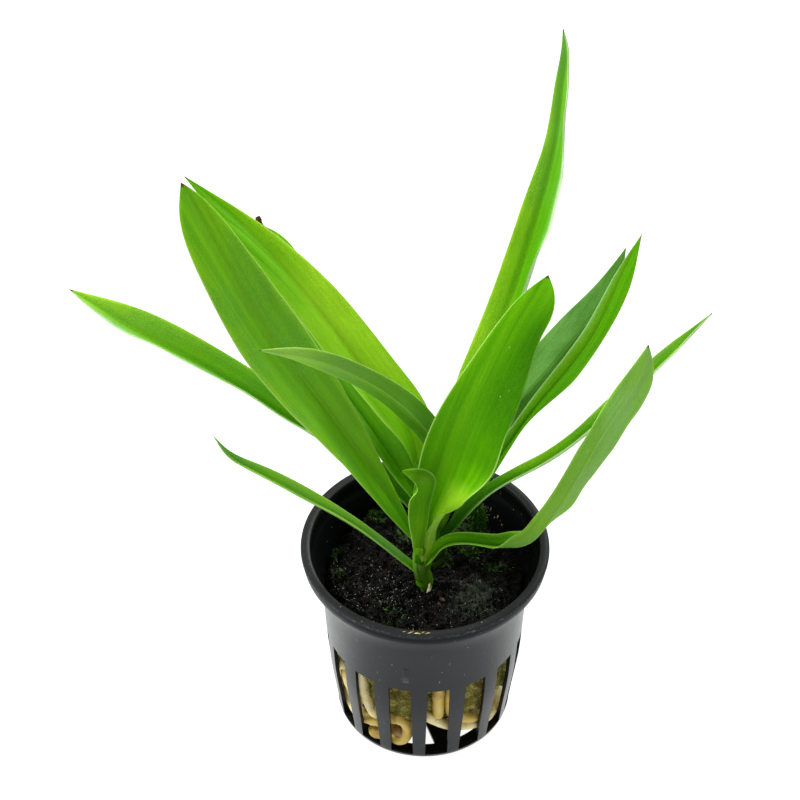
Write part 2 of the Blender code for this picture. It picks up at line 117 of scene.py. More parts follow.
# Roots: azimuth, height, depth of the root's middle behind the pot's inside face, and radius along each
ROOTS = {
    "root_left_upright": [(-138.5, 27, 1.9, 1.1), (-138, 22.3, 1.7, 1.2), (-137, 19.8, 1.7, 1.25),
                          (-135.5, 16.2, 1.7, 1.25), (-132.5, 12.4, 1.7, 1.2), (-127, 10.4, 1.4, 1.1),
                          (-121.5, 10.6, 1.7, 0.95)],
    "root_left_low": [(-184, 13.8, 1.7, 1.2), (-176, 14.6, 1.7, 1.3), (-169, 13, 1.7, 1.25),
                      (-165.5, 9, 1.7, 1.1), (-161, 5.2, 1.6, 1.05), (-151, 4, 1.6, 1.05),
                      (-140, 4.7, 1.6, 1.05), (-129, 6.4, 1.4, 1), (-122, 7.3, 1.7, 0.9)],
    "root_front_curl": [(-132.5, 2.7, 1.7, 1.25), (-127, 2.6, 0.8, 1.3), (-119, 2.8, 1.8, 1.3),
                        (-110, 2.9, 1.6, 1.3), (-104.5, 4.3, 1, 1.3), (-101.8, 8, 1.4, 1.3),
                        (-105, 11.2, 1.3, 1.2), (-111, 11.2, 1.7, 1.1)],
    "root_front_upright": [(-81, 27, 1.8, 1.1), (-81, 22.3, 1.6, 1.1), (-81, 19, 1.5, 1.1),
                           (-80.6, 14.4, 1.7, 1), (-79, 12, 3.4, 1)],
    "root_front_right": [(-73, 27, 1.8, 1), (-73, 22.3, 1.6, 1), (-73, 18.6, 1.5, 1), (-71, 14, 1.5, 1),
                         (-64.5, 10.9, 1.5, 1), (-54, 8.5, 1.5, 1), (-43.5, 6.8, 1.5, 0.95)],
    "root_low_right": [(-94, 15.6, 1.7, 0.9), (-88.3, 13.9, 1.4, 1), (-80.6, 11.5, 1.3, 1),
                       (-72.5, 9.1, 1.5, 1), (-62.9, 7.4, 1.5, 1), (-50, 5.3, 1.4, 1), (-35.5, 3.4, 1.5, 1),
                       (-22, 3.8, 1.5, 1), (-8, 4.2, 1.5, 1)],
    "root_back_right": [(13, 27, 1.9, 1.1), (14, 22.3, 1.7, 1.1), (17, 17, 1.6, 1.1), (24, 11, 1.6, 1.1),
                        (36, 8.5, 1.6, 1.1), (48, 9, 1.7, 1)],
    "root_back": [(66, 27, 1.9, 1.1), (66, 22.3, 1.7, 1.1), (67, 15, 1.6, 1.15), (73, 9, 1.6, 1.15),
                  (85, 6, 1.6, 1.1), (99, 6, 1.6, 1)],
    "root_back_left": [(149, 27, 1.9, 1.1), (148, 22.3, 1.7, 1.1), (145, 15, 1.6, 1.15), (137, 9, 1.6, 1.15),
                       (127, 7.5, 1.6, 1.1), (115, 10, 1.6, 1)],
}
# Rootlets in the same values: two fill the curl of the front root, and two the slots at the left
ROOTLETS = {
    "curl_bridge": [(-128, 12, 2.6, 1.0), (-121, 11.4, 1.8, 1.25), (-114, 11.2, 1.7, 1.3),
                    (-107, 10.2, 2.2, 1.1)],
    "curl_heart": [(-117, 8.2, 2.9, 1.2), (-112, 6.6, 2.7, 1.7), (-106, 6.6, 2.8, 1.8),
                   (-102, 8.6, 3.2, 1.3)],
    "left_golden": [(-160, 17, 2.4, 1.1), (-155, 15.2, 1.7, 1.3), (-151.5, 12.6, 1.5, 1.35),
                    (-147, 9.9, 1.5, 1.35), (-142, 8, 1.9, 1.2)],
    "left_head": [(-175, 19.5, 2.4, 1.2), (-165, 18.6, 1.7, 1.5), (-159, 17.9, 1.5, 1.6),
                  (-155, 17.2, 1.7, 1.4)],
}
# How golden each root is: 0 is cream, 1 golden and 2 brown. The tones are partly the roots' own colour and
# partly painted shade: roots that stand in shade are given darker tones.
ROOT_TONES = {"root_left_upright": 0.1, "root_front_curl": 1.15, "root_front_upright": 1.0,
              "root_front_right": 1.0, "root_low_right": 0.5, "curl_bridge": 1.4, "curl_heart": 2.0,
              "left_golden": 0.8, "left_head": 0.2}
PLAIN_TONE = 0.6
ROOT_SIDES = 20
ROOT_SWELLING = 1.35           # how much fuller a root is than its solid
ROOT_STEP = 0.35

# Moss: x, y, spread, height and number of leaflets of each tuft
MOSS_TUFTS = [(-20.3, 6.4, 1.4, 1.4, 130), (-18.8, -1.3, 1.1, 1.2, 80), (-11.4, 17.6, 2.6, 2.0, 420),
              (9.2, 12.6, 3.0, 3.0, 900), (4.9, 10.4, 2.4, 1.8, 400), (13.5, 12, 2.2, 3.0, 500),
              (10.3, 8.4, 2.4, 1.2, 300), (-7, -13.1, 4.2, 0.3, 170), (15.5, 4, 3, 0.8, 200),
              (-4, 11, 3, 1.0, 250), (0.5, -3.8, 2.4, 0.9, 160), (4.6, 3, 1.6, 2.4, 260)]
CRUMBS = 6500
GRAINS = 5200
WET_SPOT = (-9, -8, 9)         # where the grit, pale grains whose colour paints glints, shows most: x, y, spread
FIBRES = 5200
FIBRE_SPOT = (11, -8.5, 6.5)   # the pale fibrous mound
MOUND_FIBRES = 3000
DOME = (11.2, -8.6, 5.6)       # its rise, and the ditch to its left
DOME_DITCH = (4.6, -9.5, 2.6)
WOOL_STRANDS = 4800
WOOL_STARTS = (9.5, 26.8)      # heights between which strands of wool start, and between which they stay
WOOL_LIMITS = (9.2, 27.0)
BARK = [(2.6, -4.2, 40.9), (3.2, -5.6, 40.8), (2.9, -7, 40.9), (3.7, -8.3, 40.9), (3.3, -9.8, 40.8),
        (4.3, -6.6, 41.1)]
SCRAP = [(0.9, -7.6, 43.2), (0.9, -7.6, 44.4)]
SPECKS = [(-4, 41), (-2.4, 42.2), (-1.5, 41.4), (0, 42.8), (0.8, 41.8), (2.2, 42.4), (3, 41), (3.6, 43.2),
          (1.4, 40.6)]
SPECK_TURN = 49.0              # azimuth of the specks on the inside of the wall, in degrees
FLECKS = [(-4.6, -25.8, 50), (-3.4, -26.1, 50), (-2.1, -26.3, 50), (-0.7, -26, 50), (0.4, -26.3, 50),
          (-2.9, -25.8, 50.02), (-1.4, -26.4, 50)]
STRAND_POINTS = 6
STRAND_CORNERS = 3 * STRAND_POINTS

# Shoots: x, y, z and radius along each
SHOOT_SIDES = 60
SHOOT_ROWS = 90
SHOOT_TIP_ROWS = 12            # rows over which a shoot closes at its top
SHOOTS = {
    "front_shoot": [(0.1, -4.6, 38.6, 1.25), (0.1, -4.6, 41, 1.4), (-0.8, -4.8, 46, 1.7), (-0.7, -4.9, 50, 2),
                    (-0.7, -5, 55.6, 1.5)],
    "back_shoot": [(2.6, 4.2, 38.6, 2.4), (2.6, 4.2, 41, 2.4), (2.6, 4.4, 47, 1.9), (2.6, 4.6, 53, 1.7),
                   (2.7, 5, 60, 1.2)],
}

# How strong the painted deep shade is at the foot of each shoot
SHOOT_DEEP_SHADE = {"front_shoot": 0.3, "back_shoot": 1.0}

# Leaves: stations along the midrib (x, y, z, half width on its left, half width on its right), then, spaced
# evenly from base to tip, where the upper side faces (azimuth, height), how steeply each half rises from the
# midrib, and how much more each margin rolls up, all in degrees. The sheath is the shoot that the leaf grows
# from, how far down it the leaf's foot clasps it, and how thick the layers under that foot are.
# Light is the painted light and shade of the left and right halves: above 0 a half is painted lighter, below
# 0 it is in painted shade, and towards -2 in painted deep shade. Grey is how strong a painted grey sheen, a
# reflection of the white surroundings, is on the upper and lower sides; on the lower side it is partly the
# leaf's own waxy film, and it also sets the gloss. Both are spaced evenly from base to tip. Sheen is a
# painted white reflection on the left margin, or on the right one where it is negative. Some sheaths are
# given a painted deep shade near the peat, withered is the share of the length that is brown at the tip,
# clasp replaces the usual half angle of the foot, and round is the share of the half width over which the
# fold eases in at the midrib.
LEAVES = {
    "leaf_far_left": dict(
        stations=[(0, 2.7, 54, 1.3, 1.3), (-13, 4, 69, 3.5, 3.5), (-29, 8, 79.5, 4.6, 5.2),
                  (-46, 13, 89.5, 5, 5), (-62, 17, 97.5, 4.4, 4.6), (-75, 21, 105, 0, 0)],
        faces=[(-90, 80), (-90, 80)], fold=[35, 58, 55, 45, 30], roll_left=[0, 0], roll_right=[0, 0],
        sheath=("back_shoot", 6, 0.5), sheen=1.2,
        light=[(0.0, 0.0), (0.1, 0.25), (0.3, 0.6)], grey=[(0.15, 0.3), (0.3, 0.5)]),
    "leaf_broad_left": dict(
        stations=[(-2.5, -4.7, 56.3, 1, 1), (-8, -2, 66, 4.8, 2.1), (-20, 5, 83, 8.4, 5.3),
                  (-33, 11, 102, 9.3, 6.8), (-43, 18, 119, 7.2, 4.7),
                  (-48.3, 22.6, 127.6, 3.1, 2), (-50, 24, 130.6, 0, 0)],
        faces=[(-35, 35), (-50, 35), (-50, 30)], fold=[25, 30, 20, 15], roll_left=[0, -20],
        roll_right=[0, -20], sheath=("front_shoot", 6, 0.4), deep_shade=0.8,
        light=[(0.1, 0.2), (0.25, 0.3), (0.25, 0.3), (0.2, 0.3)],
        grey=[(0.1, 0.3), (0.3, 0.3), (0.1, 0.3)]),
    "leaf_back_left": dict(
        stations=[(-0.4, 5.6, 58, 1.3, 1.3), (-1.2, 7.6, 65, 2, 3), (-3, 10.5, 74, 6.5, 5),
                  (-10, 15, 84, 9, 5.6), (-22, 23, 98, 8, 5), (-38, 32, 113, 4.5, 2.3),
                  (-51, 37, 122.5, 0, 0)],
        faces=[(-45, 40), (-50, 40), (-50, 40)], fold=[30, 35, 25, 20], roll_left=[0, -20],
        roll_right=[0, -20], sheath=("back_shoot", 7, 0.3), round=0.12,
        light=[(0.1, 1.0), (0.25, 1.2), (0.4, 1.2), (0.1, 0.5), (-0.1, 0.0)],
        grey=[(0.0, 0.2), (0.0, 0.2)]),
    "leaf_inner_left": dict(
        stations=[(0.7, 2.8, 56.5, 1.2, 1.2), (-7, 6.4, 69.4, 5, 4.2), (-15, 14, 78, 7, 5),
                  (-26, 24, 89, 6, 4.5), (-39, 37, 105, 0, 0)],
        faces=[(-45, 45), (-50, 45), (-50, 45)], fold=[30, 40, 25, 25], roll_left=[0, -10],
        roll_right=[0, -10], sheath=("back_shoot", 6, 0.3), light=[(0.1, 0.1), (0.3, 0.3)],
        grey=[(0.1, 0.2), (0.4, 0.3)]),
    "leaf_withered_tip": dict(
        stations=[(1.6, 7.4, 56, 1.3, 1.3), (-6, 17, 73, 3.5, 3.5), (-17, 29, 86, 4, 3.5),
                  (-28, 38, 98, 3, 1.6),
                  (-32.8, 41, 103.4, 1.3, 1), (-34.2, 42, 104.4, 0.25, 0.25), (-35.6, 43, 105.4, 0.2, 0.2),
                  (-36.3, 43.4, 106.2, 0.7, 0.7), (-36.9, 43.3, 105.6, 0, 0)],
        faces=[(-80, 45), (-70, 45)], fold=[30, 45, 35, 30], roll_left=[0, -10], roll_right=[0, -10],
        sheath=("back_shoot", 6, 0.5), light=[(0.4, 0.4), (0.4, 0.4)], grey=[(0.1, 0.2)] * 2, withered=0.09),
    "leaf_arching_left": dict(
        stations=[(4.1, 1.6, 56, 1.3, 1.3), (4, 3, 71, 3.2, 3.2), (-2, 3, 84.5, 3.5, 3.5),
                  (-13, 1, 97.5, 2.6, 2.8), (-25, -1, 105.5, 1.8, 2), (-34, -3, 109, 0, 0)],
        faces=[(95, -10), (95, -20), (95, -10)], fold=[30, 40, 25, 25], roll_left=[0, -10],
        roll_right=[0, -10], sheath=("back_shoot", 6, 0.6),
        light=[(-0.5, -0.5), (-0.5, -0.5), (0.3, 0.3), (1.0, 1.0)],
        grey=[(0.1, 0.1), (0.1, 0.15), (0.2, 0.5)]),
    "leaf_broad_centre": dict(
        stations=[(1.3, -4.5, 56.4, 1.2, 4), (1.5, -4.3, 60, 2.7, 3.9), (2.4, -4.1, 63.5, 4.6, 4),
                  (4.4, -4, 70, 7, 6.6), (8.5, -2, 84, 8, 9.2), (14, 1, 99, 5.8, 7.5),
                  (19.5, 4.5, 111, 3.6, 5.2), (23.5, 7, 118, 1.2, 2.3), (24.3, 8, 119.5, 0, 0)],
        faces=[(-130, 20), (-115, 20), (-115, 20)], fold=[76, 43, 42, 33, 25, 20, 17, 15, 15],
        roll_left=[0, -10, -10], roll_right=[109, 90, 15, -20, 10, 0, -10, -10, -10],
        sheath=("front_shoot", 5, 0.3), round=0.6,
        light=[(-0.5, 1.4), (-0.3, 0.9), (-0.1, -0.8), (0.0, -1.4), (0.0, -1.1), (-0.3, -0.4)],
        grey=[(0.0, 0.3)] * 2),
    "leaf_tallest": dict(
        stations=[(2.9, 5.2, 60.6, 1.3, 1.3), (9.5, 13, 79, 4.6, 4.6), (15.5, 18, 95, 4.8, 5),
                  (20.6, 22, 113, 4.2, 5), (24, 25, 127, 3.6, 4.2), (26, 27, 138, 2.5, 3.2),
                  (26.8, 28, 152, 1.7, 1.9), (26.9, 28, 160, 1, 0.9), (26, 28, 165, 0, 0)],
        faces=[(-120, 20), (-115, 15), (-115, 10)], fold=[40, 30, 20, 20, 20, 20], roll_left=[0, 0],
        roll_right=[0, 10, 40, 100, 110, 110, 50, 20, 100, 60, 20], sheath=("back_shoot", 6, 0.1),
        light=[(1.2, 0.8), (0.9, 0.4), (0.5, -0.1), (0.4, -0.3), (0.1, 0.0)],
        sheen=-1.8, grey=[(0.05, 0.4), (0.05, 0.5), (0.5, 0.6)]),
    "leaf_back_right": dict(
        stations=[(4.2, 6.3, 52, 1.3, 1.3), (12, 13, 66, 3.6, 4), (22, 19, 77, 4.6, 5.2),
                  (33, 26, 88, 4, 5.2), (39, 31, 96, 2.6, 2.8), (43, 35, 105, 0, 0)],
        faces=[(90, -20), (85, -35), (85, -35)], fold=[30, 25, 20, 15], roll_left=[0, -10],
        roll_right=[0, -10], sheath=("back_shoot", 5, 0.5), light=[(-1.5, -1.5), (-1.1, -1.1)],
        grey=[(0.3, 0.2), (0.3, 0.45)]),
    "leaf_wavy_right": dict(
        stations=[(5.9, 4.3, 50, 1.3, 1.3), (16, 10.5, 65.5, 2, 1.6), (24, 15, 77, 2, 1.8),
                  (30, 17.5, 84.5, 2.4, 3.2), (36, 21, 92.5, 2.4, 2.8), (41, 25, 104, 1.6, 3.1),
                  (45, 27, 115, 0, 0)],
        faces=[(-120, 40), (-120, 30), (-120, 30)], fold=[35, 45, 25, 20], roll_left=[0, -10],
        roll_right=[0, -10], sheath=("back_shoot", 5, 0.8), sheen=1.3,
        light=[(-0.3, 0.1), (0.4, 0.0), (0.4, 0.0)], grey=[(0.04, 0.4)] * 2),
    "leaf_bent_right": dict(
        stations=[(1.75, -6.75, 53.2, 1.4, 1.4), (4.6, -7, 57, 2, 2), (9.5, -7, 57.3, 2.7, 3.2),
                  (21.4, -9, 59.3, 3.4, 3.2), (25.3, -9.5, 65.2, 4.1, 3.1), (32.6, -8, 81.4, 4.7, 3),
                  (37.7, -8, 95, 5.2, 2.9), (42.5, -8, 107.5, 3, 2.4), (43.5, -8, 115, 0, 0)],
        faces=[(-90, 70), (-90, 75), (-95, 70), (127, 32), (111, -1), (111, -8), (110, -15), (105, -18),
               (105, -20), (105, -25), (105, -25), (105, -25)],
        fold=[40, 60, 50, 20, 15, 15, 15, 15], roll_left=[0, 0], roll_right=[0, 0],
        sheath=("front_shoot", 11, 1.3), clasp=2.7, light=[(-0.2, -0.2), (0.5, 0.5), (0.3, 0.3), (0.4, 0.4)],
        grey=[(0.0, 0.3), (0.35, 0.3), (0.3, 0.45), (0.3, 0.6)]),
    "leaf_far_right": dict(
        stations=[(4.6, 2.1, 50, 1.3, 1.3), (14, 5.5, 60, 2, 2), (26, 8, 66.8, 2.3, 2.3),
                  (38, 11, 76.8, 2.6, 2.6), (50, 14, 90.3, 2.4, 2.4), (60, 17, 102, 0, 0)],
        faces=[(-90, 80), (-90, 80)], fold=[35, 60, 55, 45], roll_left=[0, 0], roll_right=[0, 0],
        sheath=("back_shoot", 4, 0.9), sheen=-1.7,
        light=[(-1.3, -1.3), (0.5, 0.5), (0.5, 0.5), (0.5, 0.5)], grey=[(0.1, 0.3), (0.6, 0.5)]),
    "leaf_low_left": dict(
        stations=[(-3.6, -4.5, 47.8, 1.2, 1.2), (-16, -1, 57, 1.8, 1.8), (-26, 1, 63, 2.4, 2.4),
                  (-36, 3, 68.6, 2, 2), (-41.6, 4, 72.4, 1, 1), (-45.2, 4, 79, 0, 0)],
        faces=[(-90, 80), (-90, 80)], fold=[35, 55, 50, 20], roll_left=[0, 0], roll_right=[0, 0],
        sheath=("front_shoot", 4, 0.7), deep_shade=0.8, light=[(0.2, 0.2), (0.5, 0.5), (0.2, 0.2)],
        grey=[(0.7, 0.6)] * 2),
    "leaf_youngest": dict(
        stations=[(-0.7, -7, 58, 2, 2.7), (-0.2, -7.5, 62, 2.3, 3.8), (0.1, -7.8, 65.4, 3.5, 4.7),
                  (0.3, -8, 69, 4, 5.3), (1.4, -9, 76.5, 3.6, 6.6), (1.2, -10, 80.5, 1.6, 6.6),
                  (-0.9, -11.2, 83.4, 0.8, 4.6), (-5.4, -12, 84, 0, 0)],
        faces=[(180, 0), (180, 0), (180, 0), (180, -20), (180, -70)], fold=[59, 57, 59, 58, 36],
        roll_left=[-20, -20], roll_right=[-20, -20], sheath=("front_shoot", 5, 0.5),
        light=[(0.0, 0.3), (-0.9, -0.6), (-0.5, -0.4)], grey=[(0.0, 0.0)] * 2),
}
# The old leaf's light lies below -1 all along, so it is painted in deep shade.
OLD_LEAF = dict(
    stations=[(12.4, 12.2, 38.1, 1.4, 1.4), (12.2, 12.5, 43, 1.8, 1.8), (11.6, 13, 48, 1.9, 1.8),
              (11.4, 13, 50.5, 0, 0)],
    faces=[(-100, 20), (-100, 20)], fold=[20, 20], roll_left=[0, 0], roll_right=[0, 0],
    light=[(-2, -2), (-1.2, -1.2)], grey=[(0.0, 0.0)] * 2)
LEAF_ROWS = 150
LEAF_COLUMNS = 25
LEAF_STEPS = 240               # steps of the running sum from the midrib to a margin
LEAF_WAVE = 0.25
TIP_LENGTH = 5.0               # length over which a leaf thins to its tip
SHEATH_ROWS = 16
SHEATH_CLASP = 1.9             # half angle, in radians, that a leaf's foot reaches round its shoot
SHEATH_SUNK = 0.25
SHEATH_LAYER = 0.3
SHEATH_SHARE = 0.06            # how far the sheath reaches below 0 in a leaf's way along

# Light boxes: name, place and size in metres, and power
LIGHT_TARGET = Vector((0, 0, 0.07))
LIGHTS = [("left_box", (-0.5, 0.1, 0.6), 0.35, 7.0), ("back_box", (0.35, 0.6, 0.5), 0.35, 6.0)]


# Shapes

def unit(vectors):
    return vectors / np.maximum(np.linalg.norm(vectors, axis=-1, keepdims=True), 1e-9)


def fade(values, low, high):
    """0 below low, 1 above high, and eased between them."""
    part = np.clip((np.asarray(values, float) - low) / (high - low), 0, 1)
    return part * part * (3 - 2 * part)


def ripple(points, length, seed, waves=40):
    """Smooth noise about 1 high: the sum of plane waves in random directions, each about one length long."""
    random = np.random.default_rng(seed)
    ways = unit(random.normal(size=(waves, 3))) * random.uniform(0.6, 1.7, (waves, 1)) * 2 * math.pi / length
    return np.sin(points @ ways.T + random.uniform(0, 2 * math.pi, waves)).sum(axis=-1) / math.sqrt(2 * waves)


def smooth_line(stations, count):
    """Rows spaced evenly along a natural cubic spline through stations, which start with a place."""
    stations = np.asarray(stations, float)
    steps = np.linalg.norm(np.diff(stations[:, :3], axis=0), axis=1)
    knots = np.concatenate([[0], np.cumsum(steps)])
    last = len(stations) - 1
    system = np.eye(len(stations))
    bends = np.zeros_like(stations)
    for i in range(1, last):
        system[i, i - 1:i + 2] = steps[i - 1], 2 * (steps[i - 1] + steps[i]), steps[i]
        before = (stations[i] - stations[i - 1]) / steps[i - 1]
        after = (stations[i + 1] - stations[i]) / steps[i]
        bends[i] = 6 * (after - before)
    bends = np.linalg.solve(system, bends)
    fine = np.linspace(0, knots[-1], SPLINE_STEPS)
    i = np.clip(np.searchsorted(knots, fine, side="right") - 1, 0, last - 1)
    step = steps[i][:, None]
    before = (knots[i + 1] - fine)[:, None]
    after = (fine - knots[i])[:, None]
    curve = (bends[i] * before ** 3 + bends[i + 1] * after ** 3) / (6 * step)
    curve += (stations[i] / step - bends[i] * step / 6) * before
    curve += (stations[i + 1] / step - bends[i + 1] * step / 6) * after
    run = np.concatenate([[0], np.cumsum(np.linalg.norm(np.diff(curve[:, :3], axis=0), axis=1))])
    even = np.linspace(0, run[-1], count)
    return np.stack([np.interp(even, run, column) for column in curve.T], axis=1)


def eased(values, places):
    """Values given at even spacing, eased from one to the next at places from 0 to 1."""
    values = np.asarray(values, float).reshape(len(values), -1)
    scaled = np.clip(places, 0, 1) * (len(values) - 1)
    i = np.minimum(scaled.astype(int), len(values) - 2)
    part = (scaled - i)[:, None]
    part = part * part * (3 - 2 * part)
    return values[i] * (1 - part) + values[i + 1] * part


def directions(angles):
    """Unit vectors towards (azimuth, height) in degrees."""
    azimuth, height = np.radians(np.asarray(angles, float)).T
    level = np.cos(height)
    return np.stack([np.cos(azimuth) * level, np.sin(azimuth) * level, np.sin(height)], axis=1)


def around_axis(radius, turn, height):
    """Points at a radius, a turn in radians and a height."""
    radius, turn, height = np.broadcast_arrays(radius, turn, height)
    return np.stack([radius * np.cos(turn), radius * np.sin(turn), height], axis=-1)


def grid_faces(rows, columns):
    """Quads between closed rings of points that follow one another."""
    across = np.arange(columns)
    following = (across + 1) % columns
    low = np.arange(rows - 1)[:, None] * columns
    quads = [low + across, low + following, low + columns + following, low + columns + across]
    return np.stack(quads, axis=-1).reshape(-1, 4)


def fan(ring, tip):
    """Triangles from each side of a closed ring of point numbers to a tip."""
    ring = np.asarray(ring)
    return np.stack([ring, np.roll(ring, -1), np.full(len(ring), tip)], axis=1)


def add_piece(name, points, faces, material, replaced=(), crease=60, layers=None):
    """A smooth mesh from points in millimetres, which rides on the plant; layers are named point vectors."""
    mesh = bpy.data.meshes.new(name)
    mesh.from_pydata((points * MM).tolist(), [], [face for block in faces for face in block.tolist()])
    for label, values in (layers or {}).items():
        layer = mesh.attributes.new(label, "FLOAT_VECTOR", "POINT")
        layer.data.foreach_set("vector", np.ascontiguousarray(values, dtype=np.float32).ravel())
    mesh.materials.append(material)
    mesh.shade_smooth()
    mesh.set_sharp_from_angle(angle=math.radians(crease))
    piece = bpy.data.objects.new(name, mesh)
    bpy.context.scene.collection.objects.link(piece)
    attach(piece, BODY)
    if replaced:
        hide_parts(*replaced)
    return piece


# Shader nodes

def put(tree, kind, inputs=None, **options):
    """A new node with its options set, and its inputs set to values or linked to other nodes' outputs."""
    made = tree.nodes.new("ShaderNode" + kind)
    for name, value in options.items():
        setattr(made, name, value)
    for name, value in (inputs or {}).items():
        if isinstance(value, bpy.types.NodeSocket):
            tree.links.new(value, made.inputs[name])
        else:
            made.inputs[name].default_value = value
    return made


def calc(tree, operation, *values):
    return put(tree, "Math", dict(enumerate(values)), operation=operation).outputs[0]


def times(tree, first, second):
    return calc(tree, "MULTIPLY", first, second)


def plus(tree, first, second):
    return calc(tree, "ADD", first, second)


def scaled(tree, vector, scales):
    """A vector times three scales."""
    return put(tree, "VectorMath", {0: vector, 1: scales}, operation="MULTIPLY").outputs[0]


def blend(tree, factor, low, high):
    """A colour mixed from low to high by a factor."""
    low, high = (value if isinstance(value, bpy.types.NodeSocket) else (*value, 1) for value in (low, high))
    return put(tree, "Mix", {0: factor, 6: low, 7: high}, data_type="RGBA").outputs[2]


def span(tree, value, low, high, to_low=0.0, to_high=1.0):
    """A value eased from one range on to another."""
    return put(tree, "MapRange", {0: value, 1: low, 2: high, 3: to_low, 4: to_high},
               interpolation_type="SMOOTHSTEP").outputs[0]


def noise(tree, place, scale, detail=2.0, rough=0.5):
    inputs = {"Vector": place, "Scale": scale, "Detail": detail, "Roughness": rough}
    return put(tree, "TexNoise", inputs).outputs[0]


def bump(tree, height, strength, distance, normal=None):
    inputs = {"Height": height, "Strength": strength, "Distance": distance}
    if normal:
        inputs["Normal"] = normal
    return put(tree, "Bump", inputs).outputs[0]


def new_group(name, inputs, outputs):
    """An empty shader group with named sockets, and its two end nodes."""
    tree = bpy.data.node_groups.new(name, "ShaderNodeTree")
    for label, kind in inputs.items():
        tree.interface.new_socket(label, in_out="INPUT", socket_type="NodeSocket" + kind)
    for label, kind in outputs.items():
        tree.interface.new_socket(label, in_out="OUTPUT", socket_type="NodeSocket" + kind)
    return tree, tree.nodes.new("NodeGroupInput").outputs, tree.nodes.new("NodeGroupOutput").inputs


def use_group(tree, group, inputs):
    return put(tree, "Group", inputs, node_tree=group).outputs


def speckle_group():
    """Round specks of a size, on a share of the cells of a scattered pattern."""
    group = bpy.data.node_groups.get("speckle")
    if group:
        return group
    group, given, result = new_group("speckle", {"Place": "Vector", "Density": "Float", "Size": "Float",
                                                 "Share": "Float"}, {"Mask": "Float"})
    cells = put(group, "TexVoronoi", {"Vector": given["Place"], "Scale": given["Density"]})
    near = calc(group, "LESS_THAN", cells.outputs["Distance"], given["Size"])
    pick = put(group, "SeparateColor", {0: cells.outputs["Color"]}).outputs[0]
    chosen = calc(group, "LESS_THAN", pick, given["Share"])
    group.links.new(times(group, near, chosen), result["Mask"])
    return group


def mottle_group():
    """Soft patches of two sizes, from 0 to 1."""
    group = bpy.data.node_groups.get("mottle")
    if group:
        return group
    group, given, result = new_group("mottle", {"Place": "Vector", "Scale": "Float"}, {"Patches": "Float",
                                                                                       "Grain": "Float"})
    patches = span(group, noise(group, given["Place"], given["Scale"], 2.0), 0.35, 0.65)
    fine = times(group, given["Scale"], 7.0)
    grain = span(group, noise(group, given["Place"], fine, 3.0, 0.6), 0.3, 0.7)
    group.links.new(patches, result["Patches"])
    group.links.new(grain, result["Grain"])
    return group


def speckles(tree, place, density, size, share):
    inputs = {"Place": place, "Density": density, "Size": size, "Share": share}
    return use_group(tree, speckle_group(), inputs)["Mask"]


def mottles(tree, place, scale):
    return use_group(tree, mottle_group(), {"Place": place, "Scale": scale})


def new_material(name):
    material = bpy.data.materials.new(name)
    material.use_nodes = True
    tree = material.node_tree
    tree.nodes.clear()
    return material, tree


def shade(tree, inputs):
    """The material's Principled shader, linked to its output."""
    shader = put(tree, "BsdfPrincipled", inputs)
    tree.links.new(shader.outputs[0], put(tree, "OutputMaterial").inputs[0])


def millimetres(tree):
    """Object coordinates in millimetres."""
    return scaled(tree, put(tree, "TexCoord").outputs["Object"], (1000, 1000, 1000))


def attribute(tree, name):
    """The three parts of a point attribute, and the whole."""
    made = put(tree, "Attribute", attribute_name=name)
    parts = put(tree, "SeparateXYZ", {0: made.outputs["Vector"]})
    return (*parts.outputs[:3], made.outputs["Vector"])


# Leaves and shoots

